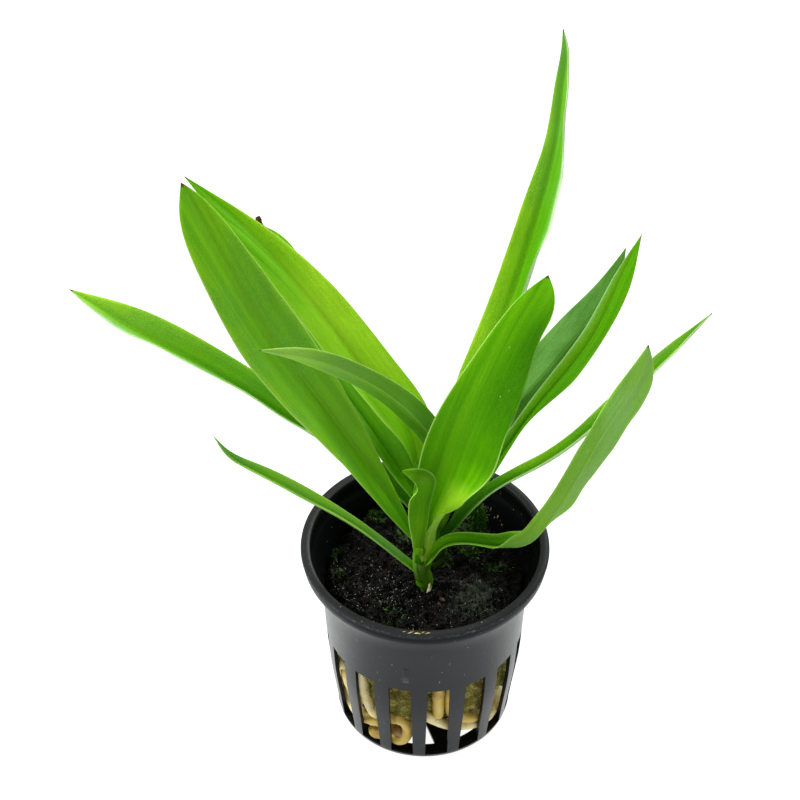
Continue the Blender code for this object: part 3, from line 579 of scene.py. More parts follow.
def leaf_green(look):
    """Leaf skin: fine lines along the blade, a faint net of cells, pale specks, and painted light, shade and
    sheen.

    Each leaf's light paints its halves lighter, or into painted shade and painted deep shade, and adds a
    painted light through its thin margins. A painted grey sheen, a reflection of the white surroundings that
    on the underside is partly the leaf's own waxy film, lies in patches with painted glints on its cells, and
    turns to a painted white reflection where it is strongest. Along the midrib the upper side has a painted
    shade in its groove and a painted light where the leaf is light, and the lower side has a pale keel. A
    pale margin line, partly a painted highlight, is dimmed in painted shade.

    The point layer place holds the way along, the way across and the side, grain holds millimetres along and
    across and the leaf's own number, and the third layer holds the leaf's painted light, how withered it is,
    and how strong its painted sheen is.
    """
    material, tree = new_material("leaf_green")
    _, across, side, _ = attribute(tree, "place")
    _, _, _, grain = attribute(tree, "grain")
    light, withered, grey, _ = attribute(tree, "light_sheen_wither")
    out = calc(tree, "ABSOLUTE", across)
    lines = span(tree, noise(tree, scaled(tree, grain, (0.03, 2.4, 3.0)), 1.0, 3.0, 0.6), 0.3, 0.7)
    ribs = span(tree, noise(tree, scaled(tree, grain, (0.012, 0.6, 5.0)), 1.0, 1.0), 0.35, 0.65)
    cells = put(tree, "TexVoronoi", {"Vector": scaled(tree, grain, (1.3, 3.0, 9.0)), "Scale": 1.0},
                feature="DISTANCE_TO_EDGE").outputs["Distance"]
    net = span(tree, cells, 0.02, 0.2, 1.0, 0.0)
    patches = mottles(tree, scaled(tree, grain, (0.35, 1.0, 7.0)), 0.2)
    # Painted light and shade: the leaf's light, raised towards its thin margins, sets both sides' colours.
    glow = plus(tree, light, span(tree, out, 0.75, 1.0, 0.0, 0.25))
    top = blend(tree, ribs, look.upper_deep, look.upper)
    top = blend(tree, span(tree, light, -1.2, 0.0, 1.0, 0.0), top, look.upper_shade)
    top = blend(tree, span(tree, light, -2.0, -1.0, 0.9, 0.0), top, look.deep_shade)
    top = blend(tree, span(tree, glow, 0.0, 1.0), top, look.upper_light)
    under = blend(tree, ribs, look.under_deep, look.under)
    # The underside takes the same painted shade and painted light.
    under = blend(tree, span(tree, light, -1.2, 0.0, 1.0, 0.0), under, look.upper_shade)
    under = blend(tree, span(tree, glow, 0.1, 1.0), under, look.under_light)
    colour = blend(tree, side, under, top)
    colour = blend(tree, span(tree, lines, 0.0, 1.0, 0.16, 0.0), colour, look.upper_deep)
    netted = times(tree, net, span(tree, patches["Patches"], 0.2, 1.0, 0.06, 0.6))
    netted = times(tree, netted, span(tree, grey, 0.0, 0.16, 0.4, 1.0))
    colour = blend(tree, netted, colour, look.upper_deep)
    # Painted sheen: a grey film in patches, a reflection of the white surroundings, and on the underside
    # partly the leaf's own waxy film; above grey 0.9 it turns to a painted white reflection.
    sheen_haze = times(tree, grey, span(tree, patches["Patches"], 0.0, 1.0, 0.3, 0.8))
    bloom_and_sheen = blend(tree, side, look.under_bloom_and_sheen, look.sheen_haze)
    colour = blend(tree, calc(tree, "MINIMUM", sheen_haze, 0.9), colour, bloom_and_sheen)
    colour = blend(tree, span(tree, grey, 0.9, 2.0, 0.0, 0.85), colour, look.sheen)
    # Painted glints on the cells where the sheen lies.
    cell_glints = times(tree, span(tree, cells, 0.25, 0.5), span(tree, grey, 0.0, 0.2, 0.05, 0.3))
    colour = blend(tree, times(tree, cell_glints, patches["Patches"]), colour, look.under_bloom_and_sheen)
    colour = blend(tree, span(tree, patches["Grain"], 0.0, 1.0, 0.12, 0.0), colour, look.upper_deep)
    # Painted shade in the groove along the upper midrib, and a painted light on the midrib where the leaf is
    # light.
    groove = times(tree, span(tree, out, 0.01, 0.06, 0.2, 0.0), side)
    colour = blend(tree, groove, colour, look.upper_deep)
    midrib_light = times(tree, span(tree, out, 0.0, 0.16, 0.8, 0.0), span(tree, light, 0.1, 0.7))
    colour = blend(tree, times(tree, midrib_light, side), colour, look.upper_light)
    # A pale keel under the midrib, and a pale margin line that is partly a painted highlight, dimmed in
    # painted shade.
    keel = times(tree, span(tree, out, 0.0, 0.05, 0.4, 0.0), calc(tree, "SUBTRACT", 1.0, side))
    edge = calc(tree, "MAXIMUM", span(tree, out, 0.955, 0.985, 0.0, 0.9), keel)
    edge = times(tree, edge, span(tree, light, -1.5, -0.5, 0.1, 1.0))
    colour = blend(tree, edge, colour, look.pale)
    colour = blend(tree, withered, colour, look.brown)
    specks = speckles(tree, millimetres(tree), 0.6, 0.085, 0.06)
    colour = blend(tree, specks, colour, look.speck)
    rough = span(tree, patches["Grain"], 0.0, 1.0, look.gloss, look.gloss + 0.12)
    rough = plus(tree, rough, span(tree, side, 0.0, 1.0, 0.1, 0.0))
    height = plus(tree, times(tree, lines, 0.5), times(tree, net, -0.5))
    height = plus(tree, height, times(tree, ribs, 0.8))
    relief = bump(tree, height, 0.45, 0.00014)
    shader = put(tree, "BsdfPrincipled", {"Base Color": colour, "Roughness": rough, "Normal": relief,
                                          "Specular IOR Level": span(tree, grey, 0.0, 1.0, 0.06, 0.4)})
    through = put(tree, "BsdfTranslucent", {"Color": blend(tree, 0.5, colour, look.through),
                                            "Normal": relief})
    mixed = put(tree, "MixShader", {0: look.translucency, 1: shader.outputs[0], 2: through.outputs[0]})
    tree.links.new(mixed.outputs[0], put(tree, "OutputMaterial").inputs[0])
    return material


def leaf_surface(leaf, rows, outs):
    """Middle surface of a leaf at places out across it from -1 to 1, with its upward directions.

    The midrib is a spline. Across it, each half leaves the midrib level, eases into the fold angle over the
    leaf's round, and turns by the roll times the square of the way out. Its section is the running sum of the
    cosines and sines of that angle.
    """
    line = smooth_line(leaf["stations"], rows)
    midrib = line[:, :3]
    places = np.linspace(0, 1, rows)
    along = unit(np.gradient(midrib, axis=0))
    facing = eased(directions(leaf["faces"]), places)
    upper = unit(facing - (facing * along).sum(1)[:, None] * along)
    across = np.cross(along, upper)
    fold = np.radians(eased(leaf["fold"], places))
    out = np.linspace(0, 1, LEAF_STEPS + 1)
    picks = np.round(np.abs(outs) * LEAF_STEPS).astype(int)
    surface = np.zeros((rows, len(outs), 3))
    normals = np.zeros_like(surface)
    widths = np.zeros((rows, len(outs)))
    for side, roll in ((-1, leaf["roll_left"]), (1, leaf["roll_right"])):
        half_width = np.maximum(line[:, 3 if side < 0 else 4], 0)[:, None]
        angle = fold * fade(out, 0, leaf.get("round", 0.03)) + np.radians(eased(roll, places)) * out ** 2
        step = half_width / LEAF_STEPS
        reach = np.cumsum(np.cos(angle) * step, axis=1) - np.cos(angle[:, :1]) * step
        rise = np.cumsum(np.sin(angle) * step, axis=1) - np.sin(angle[:, :1]) * step
        sine = np.sin(angle)[..., None]
        cosine = np.cos(angle)[..., None]
        place = midrib[:, None] + side * reach[..., None] * across[:, None] + rise[..., None] * upper[:, None]
        normal = cosine * upper[:, None] - side * sine * across[:, None]
        here = outs * side >= 0
        surface[:, here] = place[:, picks[here]]
        normals[:, here] = normal[:, picks[here]]
        widths[:, here] = half_width * outs[here]
    run = np.concatenate([[0], np.cumsum(np.linalg.norm(np.diff(midrib, axis=0), axis=1))])
    return surface, normals, widths, run, along, across


def sheath_rings(leaf, ring, along, across):
    """Rings that lead from the shoot up to a leaf's first ring, and how far up each is from 0 to 1.

    Every point follows a Hermite curve: it leaves an arc that clasps the shoot, straight up, and meets the
    first ring along the midrib. The arc's upper side lies within its lower side.
    """
    shoot, drop, layers = leaf["sheath"]
    axis = smooth_line(SHOOTS[shoot], 80)
    foot_height = ring[:, 2].mean() - drop
    centre_x, centre_y, radius = (np.interp(foot_height, axis[:, 2], axis[:, part]) for part in (0, 1, 3))
    base = ring[LEAF_COLUMNS // 2]
    azimuth = math.atan2(base[1] - centre_y, base[0] - centre_x)
    outs = leaf_outs()
    places = np.concatenate([outs, outs[-2:0:-1]])
    depth = np.concatenate([np.zeros(LEAF_COLUMNS), np.full(LEAF_COLUMNS - 2, 1.0)])
    clockwise = across @ (-math.sin(azimuth), math.cos(azimuth), 0)
    turn = azimuth + math.copysign(leaf.get("clasp", SHEATH_CLASP), clockwise) * places
    foot_radius = radius - SHEATH_SUNK + SHEATH_LAYER * (layers + depth)
    foot = around_axis(foot_radius, turn, foot_height) + (centre_x, centre_y, 0)
    part = np.linspace(0, 1, SHEATH_ROWS, endpoint=False)
    way = part[:, None, None]
    lead = drop * 1.3
    rings = (2 * way ** 3 - 3 * way ** 2 + 1) * foot + (3 * way ** 2 - 2 * way ** 3) * ring
    rings = rings + (way ** 3 - 2 * way ** 2 + way) * np.array([0, 0, lead])
    rings = rings + (way ** 3 - way ** 2) * along * lead
    return rings, part


def leaf_outs():
    """Places across a leaf from -1 to 1, which crowd towards its margins."""
    return np.sin(np.linspace(-1, 1, LEAF_COLUMNS) * math.pi / 2)


def add_leaf(name, leaf, number, look, material):
    """A leaf as a closed body, with a keel below its midrib and a groove above, and thin at its margins.

    Its half thickness is the square root of one less the fourth power of the way out, and thins towards the
    tip with the root of the distance left. Small waves lift its margins.
    """
    outs = leaf_outs()
    surface, normals, widths, run, along, across = leaf_surface(leaf, LEAF_ROWS, outs)
    left = run[-1] - run
    full = look.thickness / MM / 2 * np.minimum(1, np.sqrt(left / TIP_LENGTH + 0.02))
    half = full[:, None] * np.sqrt(1 - outs ** 4)
    wave = LEAF_WAVE * ripple(surface, 14.0, 100 + number) * outs ** 2 * fade(run, 5, 25)[:, None]
    keel = np.exp(-(widths / look.keel * MM) ** 2) * fade(left, 0, 12)[:, None]
    above = surface + normals * (half + wave - 0.5 * full[:, None] * keel)[..., None]
    below = surface - normals * (half - wave + 0.8 * full[:, None] * keel)[..., None]
    above[:, [0, -1]] = below[:, [0, -1]] = (surface + normals * wave[..., None])[:, [0, -1]]
    rings = np.concatenate([above, below[:, -2:0:-1]], axis=1)[:-1]
    count = rings.shape[1]
    way = run[:-1] / run[-1]
    length = run[:-1]
    if "sheath" in leaf:
        clasping, part = sheath_rings(leaf, rings[0], along[0], across[0])
        rings = np.concatenate([clasping, rings])
        way = np.concatenate([(part - 1) * SHEATH_SHARE, way])
        length = np.concatenate([(part - 1) * leaf["sheath"][1], length])
        widths = np.concatenate([np.repeat(widths[:1], len(part), axis=0), widths])
    rows = len(rings)
    tip = rows * count
    points = np.vstack([rings.reshape(-1, 3), surface[-1:, LEAF_COLUMNS // 2]])
    last = np.arange(tip - count, tip)
    faces = [grid_faces(rows, count), fan(last, tip), np.arange(count)[None, ::-1]]
    span_outs = np.concatenate([outs, outs[-2:0:-1]])
    side = np.concatenate([np.ones(LEAF_COLUMNS), np.zeros(LEAF_COLUMNS - 2)])
    side[[0, LEAF_COLUMNS - 1]] = 0.5
    wide = np.concatenate([widths[:rows], widths[:rows, -2:0:-1]], axis=1)
    start = 1 - leaf.get("withered", 0.012)
    dead = fade(way, start, start + (1 - start) * 0.5)
    # Painted deep shade over the sheath, where a leaf is given it.
    deep_shade = leaf.get("deep_shade", 0) * fade(-way, 0.0, 0.03)[:, None]
    place = np.stack(np.broadcast_arrays(way[:, None], span_outs, side), axis=-1)
    grain = np.stack(np.broadcast_arrays(length[:, None], wide, float(number)), axis=-1)
    # Painted light and shade of the two halves, eased across the midrib, and painted deep shade on the
    # sheath.
    lit_left, lit_right = eased(leaf["light"], np.clip(way, 0, 1)).T[..., None]
    lit = lit_left + (lit_right - lit_left) * fade(span_outs, -0.8, 0.8)
    lit = lit * (1 - deep_shade) - 2 * deep_shade
    # Strength of the painted sheen on each side, raised to a painted white reflection at one margin.
    greys = eased(leaf["grey"], np.clip(way, 0, 1)) * fade(way, -0.01, 0.06)[:, None]
    grey_above, grey_below = greys.T[..., None]
    grey = grey_below + (grey_above - grey_below) * side
    sheen = leaf.get("sheen", 0)
    grey = grey + abs(sheen) * fade(-np.sign(sheen) * span_outs, 0.55, 1.0) * fade(way, 0.02, 0.2)[:, None]
    light_sheen_wither = np.stack(np.broadcast_arrays(lit, dead[:, None], grey), axis=-1)
    layers = {"place": place, "grain": grain, "light_sheen_wither": light_sheen_wither}
    for label, values in layers.items():
        layers[label] = np.vstack([values.reshape(-1, 3), values[-1, LEAF_COLUMNS // 2][None]])
    add_piece("fine_" + name, points, faces, material, (name,), layers=layers)


def shoot_green(look):
    """Skin of the shoots: green with fine lines up them, darker towards the foot in mottled patches of
    painted deep shade.
    """
    material, tree = new_material("shoot_green")
    _, height, deep_shade, place = attribute(tree, "place")
    lines = span(tree, noise(tree, scaled(tree, place, (9.0, 0.12, 1.0)), 1.0, 3.0, 0.6), 0.3, 0.7)
    patches = mottles(tree, millimetres(tree), 0.5)
    colour = blend(tree, lines, look.shoot_deep, look.shoot)
    # Painted deep shade towards the foot, in mottled patches.
    low = times(tree, span(tree, height, 42.0, 54.0, 1.0, 0.0), deep_shade)
    foot_shade = times(tree, low, span(tree, patches["Patches"], 0.0, 1.0, 0.7, 1.0))
    colour = blend(tree, foot_shade, colour, look.deep_shade)
    relief = bump(tree, lines, 0.5, 0.00015)
    shade(tree, {"Base Color": colour, "Roughness": 0.42, "Normal": relief})
    return material


def add_shoot(name, material):
    """A shoot of lapped sheaths: a tube whose radius climbs in three steps that wind as they rise."""
    line = smooth_line(SHOOTS[name], SHOOT_ROWS)
    turns = np.arange(SHOOT_SIDES) * 2 * math.pi / SHOOT_SIDES
    height = line[:, 2]
    lap = (turns[None] * 3 / (2 * math.pi) + 0.06 * height[:, None]) % 1
    swelling = 1 + 0.09 * lap * fade(1 - lap, 0, 0.06) + 0.03 * np.sin(turns * 5 + height[:, None] * 0.3)
    radius = line[:, 3:4] * swelling
    radius[-SHOOT_TIP_ROWS:] *= np.sqrt(np.linspace(1, 0.02, SHOOT_TIP_ROWS))[:, None]
    rings = around_axis(radius, turns, height[:, None]) + line[:, None, :3] * (1, 1, 0)
    points = rings.reshape(-1, 3)
    count = len(turns)
    faces = [grid_faces(len(line), count), np.arange(count)[None, ::-1],
             np.arange(len(points) - count, len(points))[None]]
    place = np.stack(np.broadcast_arrays(np.cos(turns) * 0.5 + lap, height[:, None], SHOOT_DEEP_SHADE[name]),
                     axis=-1)
    add_piece("fine_" + name, points, faces, material, (name,),
              layers={"place": place.reshape(-1, 3)})


# Pot

def wall_radius(height):
    """Outer radius of the pot's body: a spline through its outline."""
    line = smooth_line([(radius, 0, z) for radius, z in BODY_OUTLINE[1:]], 200)
    return np.interp(height, line[:, 2], line[:, 0])


def inner_radius(height):
    """Radius of the inside of the pot's body at a height, along its plain outline."""
    return np.interp(height, [z for _, z in BODY_OUTLINE], [radius for radius, _ in BODY_OUTLINE]) - WALL


def column_turns(half_angle, count, first_turn, open_columns, closed_columns):
    """Turns of a ring's columns: each sector has its opening's columns between plus and minus the half angle,
    then those of the solid stretch up to the next opening."""
    half = np.broadcast_to(np.asarray(half_angle, float)[:, None, None], (len(half_angle), count, 1))
    centre = math.radians(first_turn) + np.arange(count)[None, :, None] * 2 * math.pi / count
    opening = centre - half + 2 * half * np.arange(open_columns + 1) / open_columns
    solid = 2 * math.pi / count - 2 * half
    closing = centre + half + solid * np.arange(1, closed_columns) / closed_columns
    return np.concatenate([opening, closing], axis=2).reshape(len(half_angle), -1)


def opening_walls(cells, partner, columns):
    """Quads through the wall round a grid's open cells, whose rows have partners on its other side."""
    def quads(found, corners):
        row, column = np.nonzero(found)
        points = []
        for down, right, through in corners:
            chosen = partner[row + down] if through else row + down
            points.append(chosen * columns + (column + right) % columns)
        return np.stack(points, axis=1)
    before = np.roll(cells, 1, axis=1)
    after = np.roll(cells, -1, axis=1)
    below = np.vstack([np.zeros_like(cells[:1]), cells[:-1]])
    above = np.vstack([cells[1:], np.zeros_like(cells[:1])])
    return [quads(cells & ~before, [(1, 0, 0), (0, 0, 0), (0, 0, 1), (1, 0, 1)]),
            quads(cells & ~after, [(0, 1, 0), (1, 1, 0), (1, 1, 1), (0, 1, 1)]),
            quads(cells & ~below, [(0, 0, 0), (0, 1, 0), (0, 1, 1), (0, 0, 1)]),
            quads(cells & ~above, [(1, 1, 0), (1, 0, 0), (1, 0, 1), (1, 1, 1)])]


def pot_grid():
    """Points and faces of the pot: its section carried round the axis, with open cells at slots and vents.

    The rows run from under the middle of the floor, over the rim, to the middle of the floor inside, and the
    columns of each row keep to the edges of the vents or of the slots.
    """
    radii = np.array([0.5, 2.5, 5, 7, VENT_START, 9, 10.5, 12, 13.5, 15, 16, VENT_END, 18])
    heights = np.concatenate([[SLOT_FOOT], np.linspace(2.6, 24.6, 16), [SLOT_TOP],
                              np.linspace(27.2, 45.9, 14)])
    wall = wall_radius(heights)
    floor_rows = len(radii)
    under = np.stack([radii, np.zeros(floor_rows)], axis=1)
    over = np.stack([radii, np.full(floor_rows, FLOOR)], axis=1)
    outside = np.stack([wall, heights], axis=1)
    inside = np.stack([wall - WALL, heights], axis=1)
    corner = [(INNER_FOOT, FLOOR)]
    section = np.vstack([under, FOOT_OUTSIDE, outside, RIM_OUTSIDE, RIM_INSIDE, inside[::-1], corner,
                         over[::-1]])
    wall_start = floor_rows + len(FOOT_OUTSIDE)
    rim = len(RIM_OUTSIDE) + len(RIM_INSIDE)
    wall_end = wall_start + len(heights)
    on_wall = np.arange(len(section))
    on_wall = (on_wall >= floor_rows) & (on_wall < len(section) - floor_rows)
    slot_angle = np.arcsin(SLOT_HALF / np.maximum(section[:, 0], SLOT_HALF * 2))
    width = VENT_SLOPE * (section[:, 0] - VENT_TIP)
    vent_angle = np.clip(np.arctan2(width, section[:, 0]), VENT_BLUNT, math.atan2(*VENT_CORNER))
    slots = column_turns(slot_angle, SLOTS, SLOT_TURN, SLOT_COLUMNS, RIB_COLUMNS)
    columns = slots.shape[1]
    vents = column_turns(vent_angle, VENTS, VENT_TURN, VENT_COLUMNS, columns // VENTS - VENT_COLUMNS)
    vents = np.roll(vents, -VENT_ROLL, axis=1)
    turns = np.where(on_wall[:, None], slots, vents)
    points = around_axis(section[:, :1], turns, section[:, 1:]).reshape(-1, 3)
    rows = len(section)
    partner = rows - 1 - np.arange(rows)
    partner[wall_start:wall_end] = wall_end + rim + len(heights) - 1 - np.arange(len(heights))
    slot_column = np.arange(columns) % (SLOT_COLUMNS + RIB_COLUMNS) < SLOT_COLUMNS
    vent_column = np.roll(np.arange(columns) % (columns // VENTS) < VENT_COLUMNS, -VENT_ROLL)
    height_rows = np.zeros(rows - 1, bool)
    height_rows[wall_start:wall_start + int(np.searchsorted(heights, SLOT_TOP))] = True
    vent_rows = np.zeros(rows - 1, bool)
    first, last = np.searchsorted(radii, [VENT_START, VENT_END])
    vent_rows[first:last] = True
    near = (height_rows[:, None] & slot_column) | (vent_rows[:, None] & vent_column)
    far = np.zeros_like(near)
    row, column = np.nonzero(near)
    far[partner[row + 1], column] = True
    kept = grid_faces(rows, columns)[~(near | far).ravel()]
    poles = np.array([[0, 0, 0], [0, 0, FLOOR]])
    foot = np.arange(columns)
    faces = [kept, fan(foot[::-1], len(points)), fan(len(points) - columns + foot, len(points) + 1)]
    faces += opening_walls(near, partner, columns)
    zone = np.zeros((rows, columns, 3))
    zone[wall_end + len(RIM_OUTSIDE):, :, 0] = 1
    zone[wall_end:wall_end + rim, :, 1] = 1
    zone = np.vstack([zone.reshape(-1, 3), [(0, 0, 0), (1, 0, 0)]])
    return np.vstack([points, poles]), faces, zone


def pot_plastic(look):
    """Dark satin plastic: mottling, dust, scratches, a faint scuff, a worn rim, a painted shade on the upper
    part of the small mark, and a painted shade over the inside, which also reflects less.
    """
    material, tree = new_material("pot_plastic")
    inside, rim, _, _ = attribute(tree, "zone")
    place = millimetres(tree)
    parts = put(tree, "SeparateXYZ", {0: place}).outputs
    patches = mottles(tree, place, 0.12)
    colour = blend(tree, patches["Patches"], look.plastic_deep, look.plastic)
    # Painted shade over the inside of the rim, the inner wall and the floor's top.
    colour = blend(tree, inside, colour, look.plastic_shade_and_scuff)
    dust = speckles(tree, place, 1.1, 0.13, 0.035)
    streaks = noise(tree, scaled(tree, place, (3.0, 3.0, 0.35)), 1.0, 2.0)
    scratch = times(tree, span(tree, streaks, 0.72, 0.78), 0.5)
    colour = blend(tree, calc(tree, "MAXIMUM", dust, scratch), colour, look.dust)
    scuff = put(tree, "VectorMath", {0: place, 1: SCUFF}, operation="DISTANCE").outputs["Value"]
    torn = noise(tree, scaled(tree, place, (1.6, 1.6, 0.5)), 1.0, 2.0)
    mark = times(tree, span(tree, scuff, 1.2, 3.6, 1.0, 0.0), span(tree, torn, 0.48, 0.54))
    colour = blend(tree, mark, colour, look.plastic_shade_and_scuff)
    level = scaled(tree, place, (1, 1, 0))
    reach = put(tree, "VectorMath", {0: level}, operation="LENGTH").outputs["Value"]
    edge = times(tree, span(tree, reach, 27.12, 27.3), span(tree, parts[2], 49.2, 49.6))
    worn = times(tree, edge, span(tree, noise(tree, place, 1.6, 4.0, 0.8), 0.45, 0.7))
    colour = blend(tree, times(tree, span(tree, parts[2], 48.6, 49.4), 0.05), colour, look.dust)
    colour = blend(tree, times(tree, worn, 0.3), colour, look.dust)
    rough = span(tree, patches["Grain"], 0.0, 1.0, look.satin, look.satin + 0.04)
    rough = plus(tree, rough, times(tree, rim, 0.1))
    relief = bump(tree, noise(tree, place, 2.6, 4.0, 0.65), 0.03, 0.00006)
    relief = bump(tree, streaks, 0.03, 0.0001, relief)
    off = [calc(tree, "ABSOLUTE", calc(tree, "SUBTRACT", parts[axis], middle))
           for axis, middle in zip((0, 2), NUB)]
    raised = [span(tree, far, half - 0.5, half, 1.0, 0.0) for far, half in zip(off, NUB_HALF)]
    front = times(tree, calc(tree, "LESS_THAN", parts[1], 0.0), calc(tree, "SUBTRACT", 1.0, inside))
    nub = times(tree, times(tree, *raised), front)
    # The small mark is painted in shade above and lighter below.
    nub_tone = blend(tree, span(tree, parts[2], 29.5, 31.5), look.nub, look.plastic_shade_and_scuff)
    colour = blend(tree, times(tree, nub, 0.7), colour, nub_tone)
    relief = bump(tree, nub, 0.35, 0.0003, relief)
    facing = put(tree, "LayerWeight", {"Blend": 0.5}).outputs["Facing"]
    lit = span(tree, parts[2], *RIM_SHADE, 1.0, 0.15)
    glint = times(tree, span(tree, facing, 0.5, 0.95, 0.21, 0.85), lit)
    # The inside's reflection is weakened along with its painted shade.
    shine = blend(tree, inside, glint, (0.1, 0.1, 0.1))
    shade(tree, {"Base Color": colour, "Roughness": rough, "Normal": relief, "Specular IOR Level": shine})
    return material


# Plug and roots

def plug_height(x, y):
    """Height of the plug's lumpy top: a level, mounds that fall off as bells, and small waves."""
    height = PLUG_LEVEL + 0.35 * np.sin(0.9 * x + 0.4) * np.cos(0.8 * y)
    for mound_x, mound_y, spread, rise in PLUG_MOUNDS:
        height = height + rise * np.exp(-((x - mound_x) ** 2 + (y - mound_y) ** 2) / spread ** 2)
    return height


def peat_height(x, y):
    """The plug's top with lumps of three sizes, falling to the pot's wall."""
    places = np.stack([x, y, np.zeros_like(x)], axis=-1)
    lumps = 0.8 * ripple(places, 5.0, 11) + 0.7 * ripple(places, 2.2, 12)
    lumps = lumps + 0.3 * np.abs(ripple(places, 0.9, 13))
    lumps = lumps + 1.6 * near_spot(x, y, DOME) - 1.2 * near_spot(x, y, DOME_DITCH)
    edge = fade(np.hypot(x, y), *PLUG_EDGE)
    return (plug_height(x, y) + lumps) * (1 - edge) + PLUG_EDGE_LEVEL * edge


def root_routes():
    """Each root's evenly spaced middle points and radii."""
    routes = {}
    for name, route in (ROOTS | ROOTLETS).items():
        turn, height, depth, radius = np.array(route, float).T
        middle = around_axis(inner_radius(height) - depth, np.radians(turn), height)
        stations = np.column_stack([middle, radius])
        length = np.linalg.norm(np.diff(middle, axis=0), axis=1).sum()
        line = smooth_line(stations, int(length / ROOT_STEP))
        room = np.interp(np.linspace(0, 1, len(line)), np.linspace(0, 1, len(depth)), depth) - 0.12
        line[:, 3] = np.minimum(line[:, 3] * ROOT_SWELLING, np.maximum(line[:, 3], room))
        routes[name] = line
    return routes


def wool_radius(turn, height):
    """Radius of the wool round the plug: a bulge with soft lumps, pressed in behind each root."""
    places = around_axis(20.0, turn, height)
    radius = 17.0 + 2.2 * fade(height, 9.5, 12.5) + 0.7 * ripple(places, 4.0, 21)
    radius = radius + 0.3 * ripple(places, 1.4, 22)
    for line in root_routes().values():
        orbit = np.hypot(line[:, 0], line[:, 1])
        root_turn = np.arctan2(line[:, 1], line[:, 0])
        arc = (turn[..., None] - root_turn + math.pi) % (2 * math.pi) - math.pi
        off = np.hypot(arc * orbit, height[..., None] - line[:, 2])
        inside = np.sqrt(np.maximum(line[:, 3] ** 2 - off ** 2, 0))
        limit = orbit - inside - 0.25 + 1.5 * np.maximum(off - line[:, 3], 0)
        radius = np.minimum(radius, limit.min(axis=-1))
    return radius


def peat(look):
    """Wet black peat with brown patches, and matted wool at its sides."""
    material, tree = new_material("peat")
    wool, _, _, _ = attribute(tree, "zone")
    place = millimetres(tree)
    patches = mottles(tree, place, 0.25)
    colour = blend(tree, patches["Grain"], look.peat_deep, look.peat)
    colour = blend(tree, times(tree, patches["Patches"], 0.3), colour, look.peat_brown)
    fibre = mottles(tree, place, 0.4)
    mat = blend(tree, fibre["Patches"], look.wool_deep, look.wool)
    mat = blend(tree, fibre["Grain"], look.wool_deep, mat)
    colour = blend(tree, wool, colour, mat)
    rough = span(tree, patches["Grain"], 0.0, 1.0, 0.35, 0.8)
    rough = calc(tree, "MAXIMUM", rough, times(tree, wool, 0.85))
    relief = bump(tree, noise(tree, place, 2.2, 5.0, 0.7), 0.9, 0.0004)
    shade(tree, {"Base Color": colour, "Roughness": rough, "Normal": relief, "Specular IOR Level": 0.1})
    return material


def add_plug(material):
    """The plug as rings from the middle of its underside, up its woolly side, to the middle of its top."""
    columns = PLUG_COLUMNS
    turns = np.arange(columns) * 2 * math.pi / columns
    side = np.linspace(*PLUG_SIDE)
    turn, height = np.meshgrid(turns, side)
    foot = [around_axis(radius, turns, np.full(columns, z)) for radius, z in PLUG_FOOT]
    wool = around_axis(wool_radius(turn, height), turn, height)
    shoulder = [around_axis(inner_radius(z) - 0.5, turns, np.full(columns, z)) for z in PLUG_SHOULDER]
    radii = np.linspace(*PLUG_TOP)
    spread = around_axis(radii[:, None], turns, 0.0)
    spread[..., 2] = peat_height(spread[..., 0], spread[..., 1])
    rings = np.vstack([np.array(foot), wool, np.array(shoulder), spread])
    rows = len(rings)
    poles = [(0, 0, PLUG_FOOT[0][1]), (0, 0, peat_height(np.zeros(1), np.zeros(1))[0])]
    points = np.vstack([rings.reshape(-1, 3), poles])
    ring = np.arange(columns)
    faces = [grid_faces(rows, columns), fan(ring[::-1], rows * columns),
             fan((rows - 1) * columns + ring, rows * columns + 1)]
    zone = np.zeros((len(points), 3))
    zone[:, 0] = fade(points[:, 2], 27.5, 26.5)
    add_piece("peat_plug", points, faces, material, ("moss_plug",), 80, {"zone": zone})


def root_skin(look):
    """Spongy root skin from cream through golden to brown, with grain along the root, stained in places."""
    material, tree = new_material("root_skin")
    _, _, tone, place = attribute(tree, "place")
    body = millimetres(tree)
    patches = mottles(tree, body, 0.2)
    golden = plus(tree, times(tree, patches["Patches"], 0.6), calc(tree, "SUBTRACT", tone, 0.3))
    colour = blend(tree, span(tree, golden, 0.0, 1.0), look.root_cream, look.root_gold)
    stain = noise(tree, scaled(tree, place, (0.35, 1.1, 7.0)), 1.0, 3.0, 0.6)
    dark = calc(tree, "MAXIMUM", span(tree, stain, 0.54, 0.74, 0.0, 0.6), span(tree, golden, 1.0, 2.0))
    colour = blend(tree, dark, colour, look.root_brown)
    colour = blend(tree, times(tree, patches["Grain"], 0.2), colour, look.root_gold)
    grit = speckles(tree, body, 1.6, 0.2, 0.07)
    colour = blend(tree, grit, colour, look.root_brown)
    skin = noise(tree, scaled(tree, place, (0.8, 3.0, 5.0)), 1.0, 4.0, 0.65)
    relief = bump(tree, skin, 0.5, 0.0002)
    shade(tree, {"Base Color": colour, "Roughness": span(tree, skin, 0.3, 0.7, 0.38, 0.6), "Normal": relief,
                 "Subsurface Weight": 0.25, "Subsurface Scale": 0.001, "Subsurface Radius": (1.0, 0.6, 0.25)})
    return material


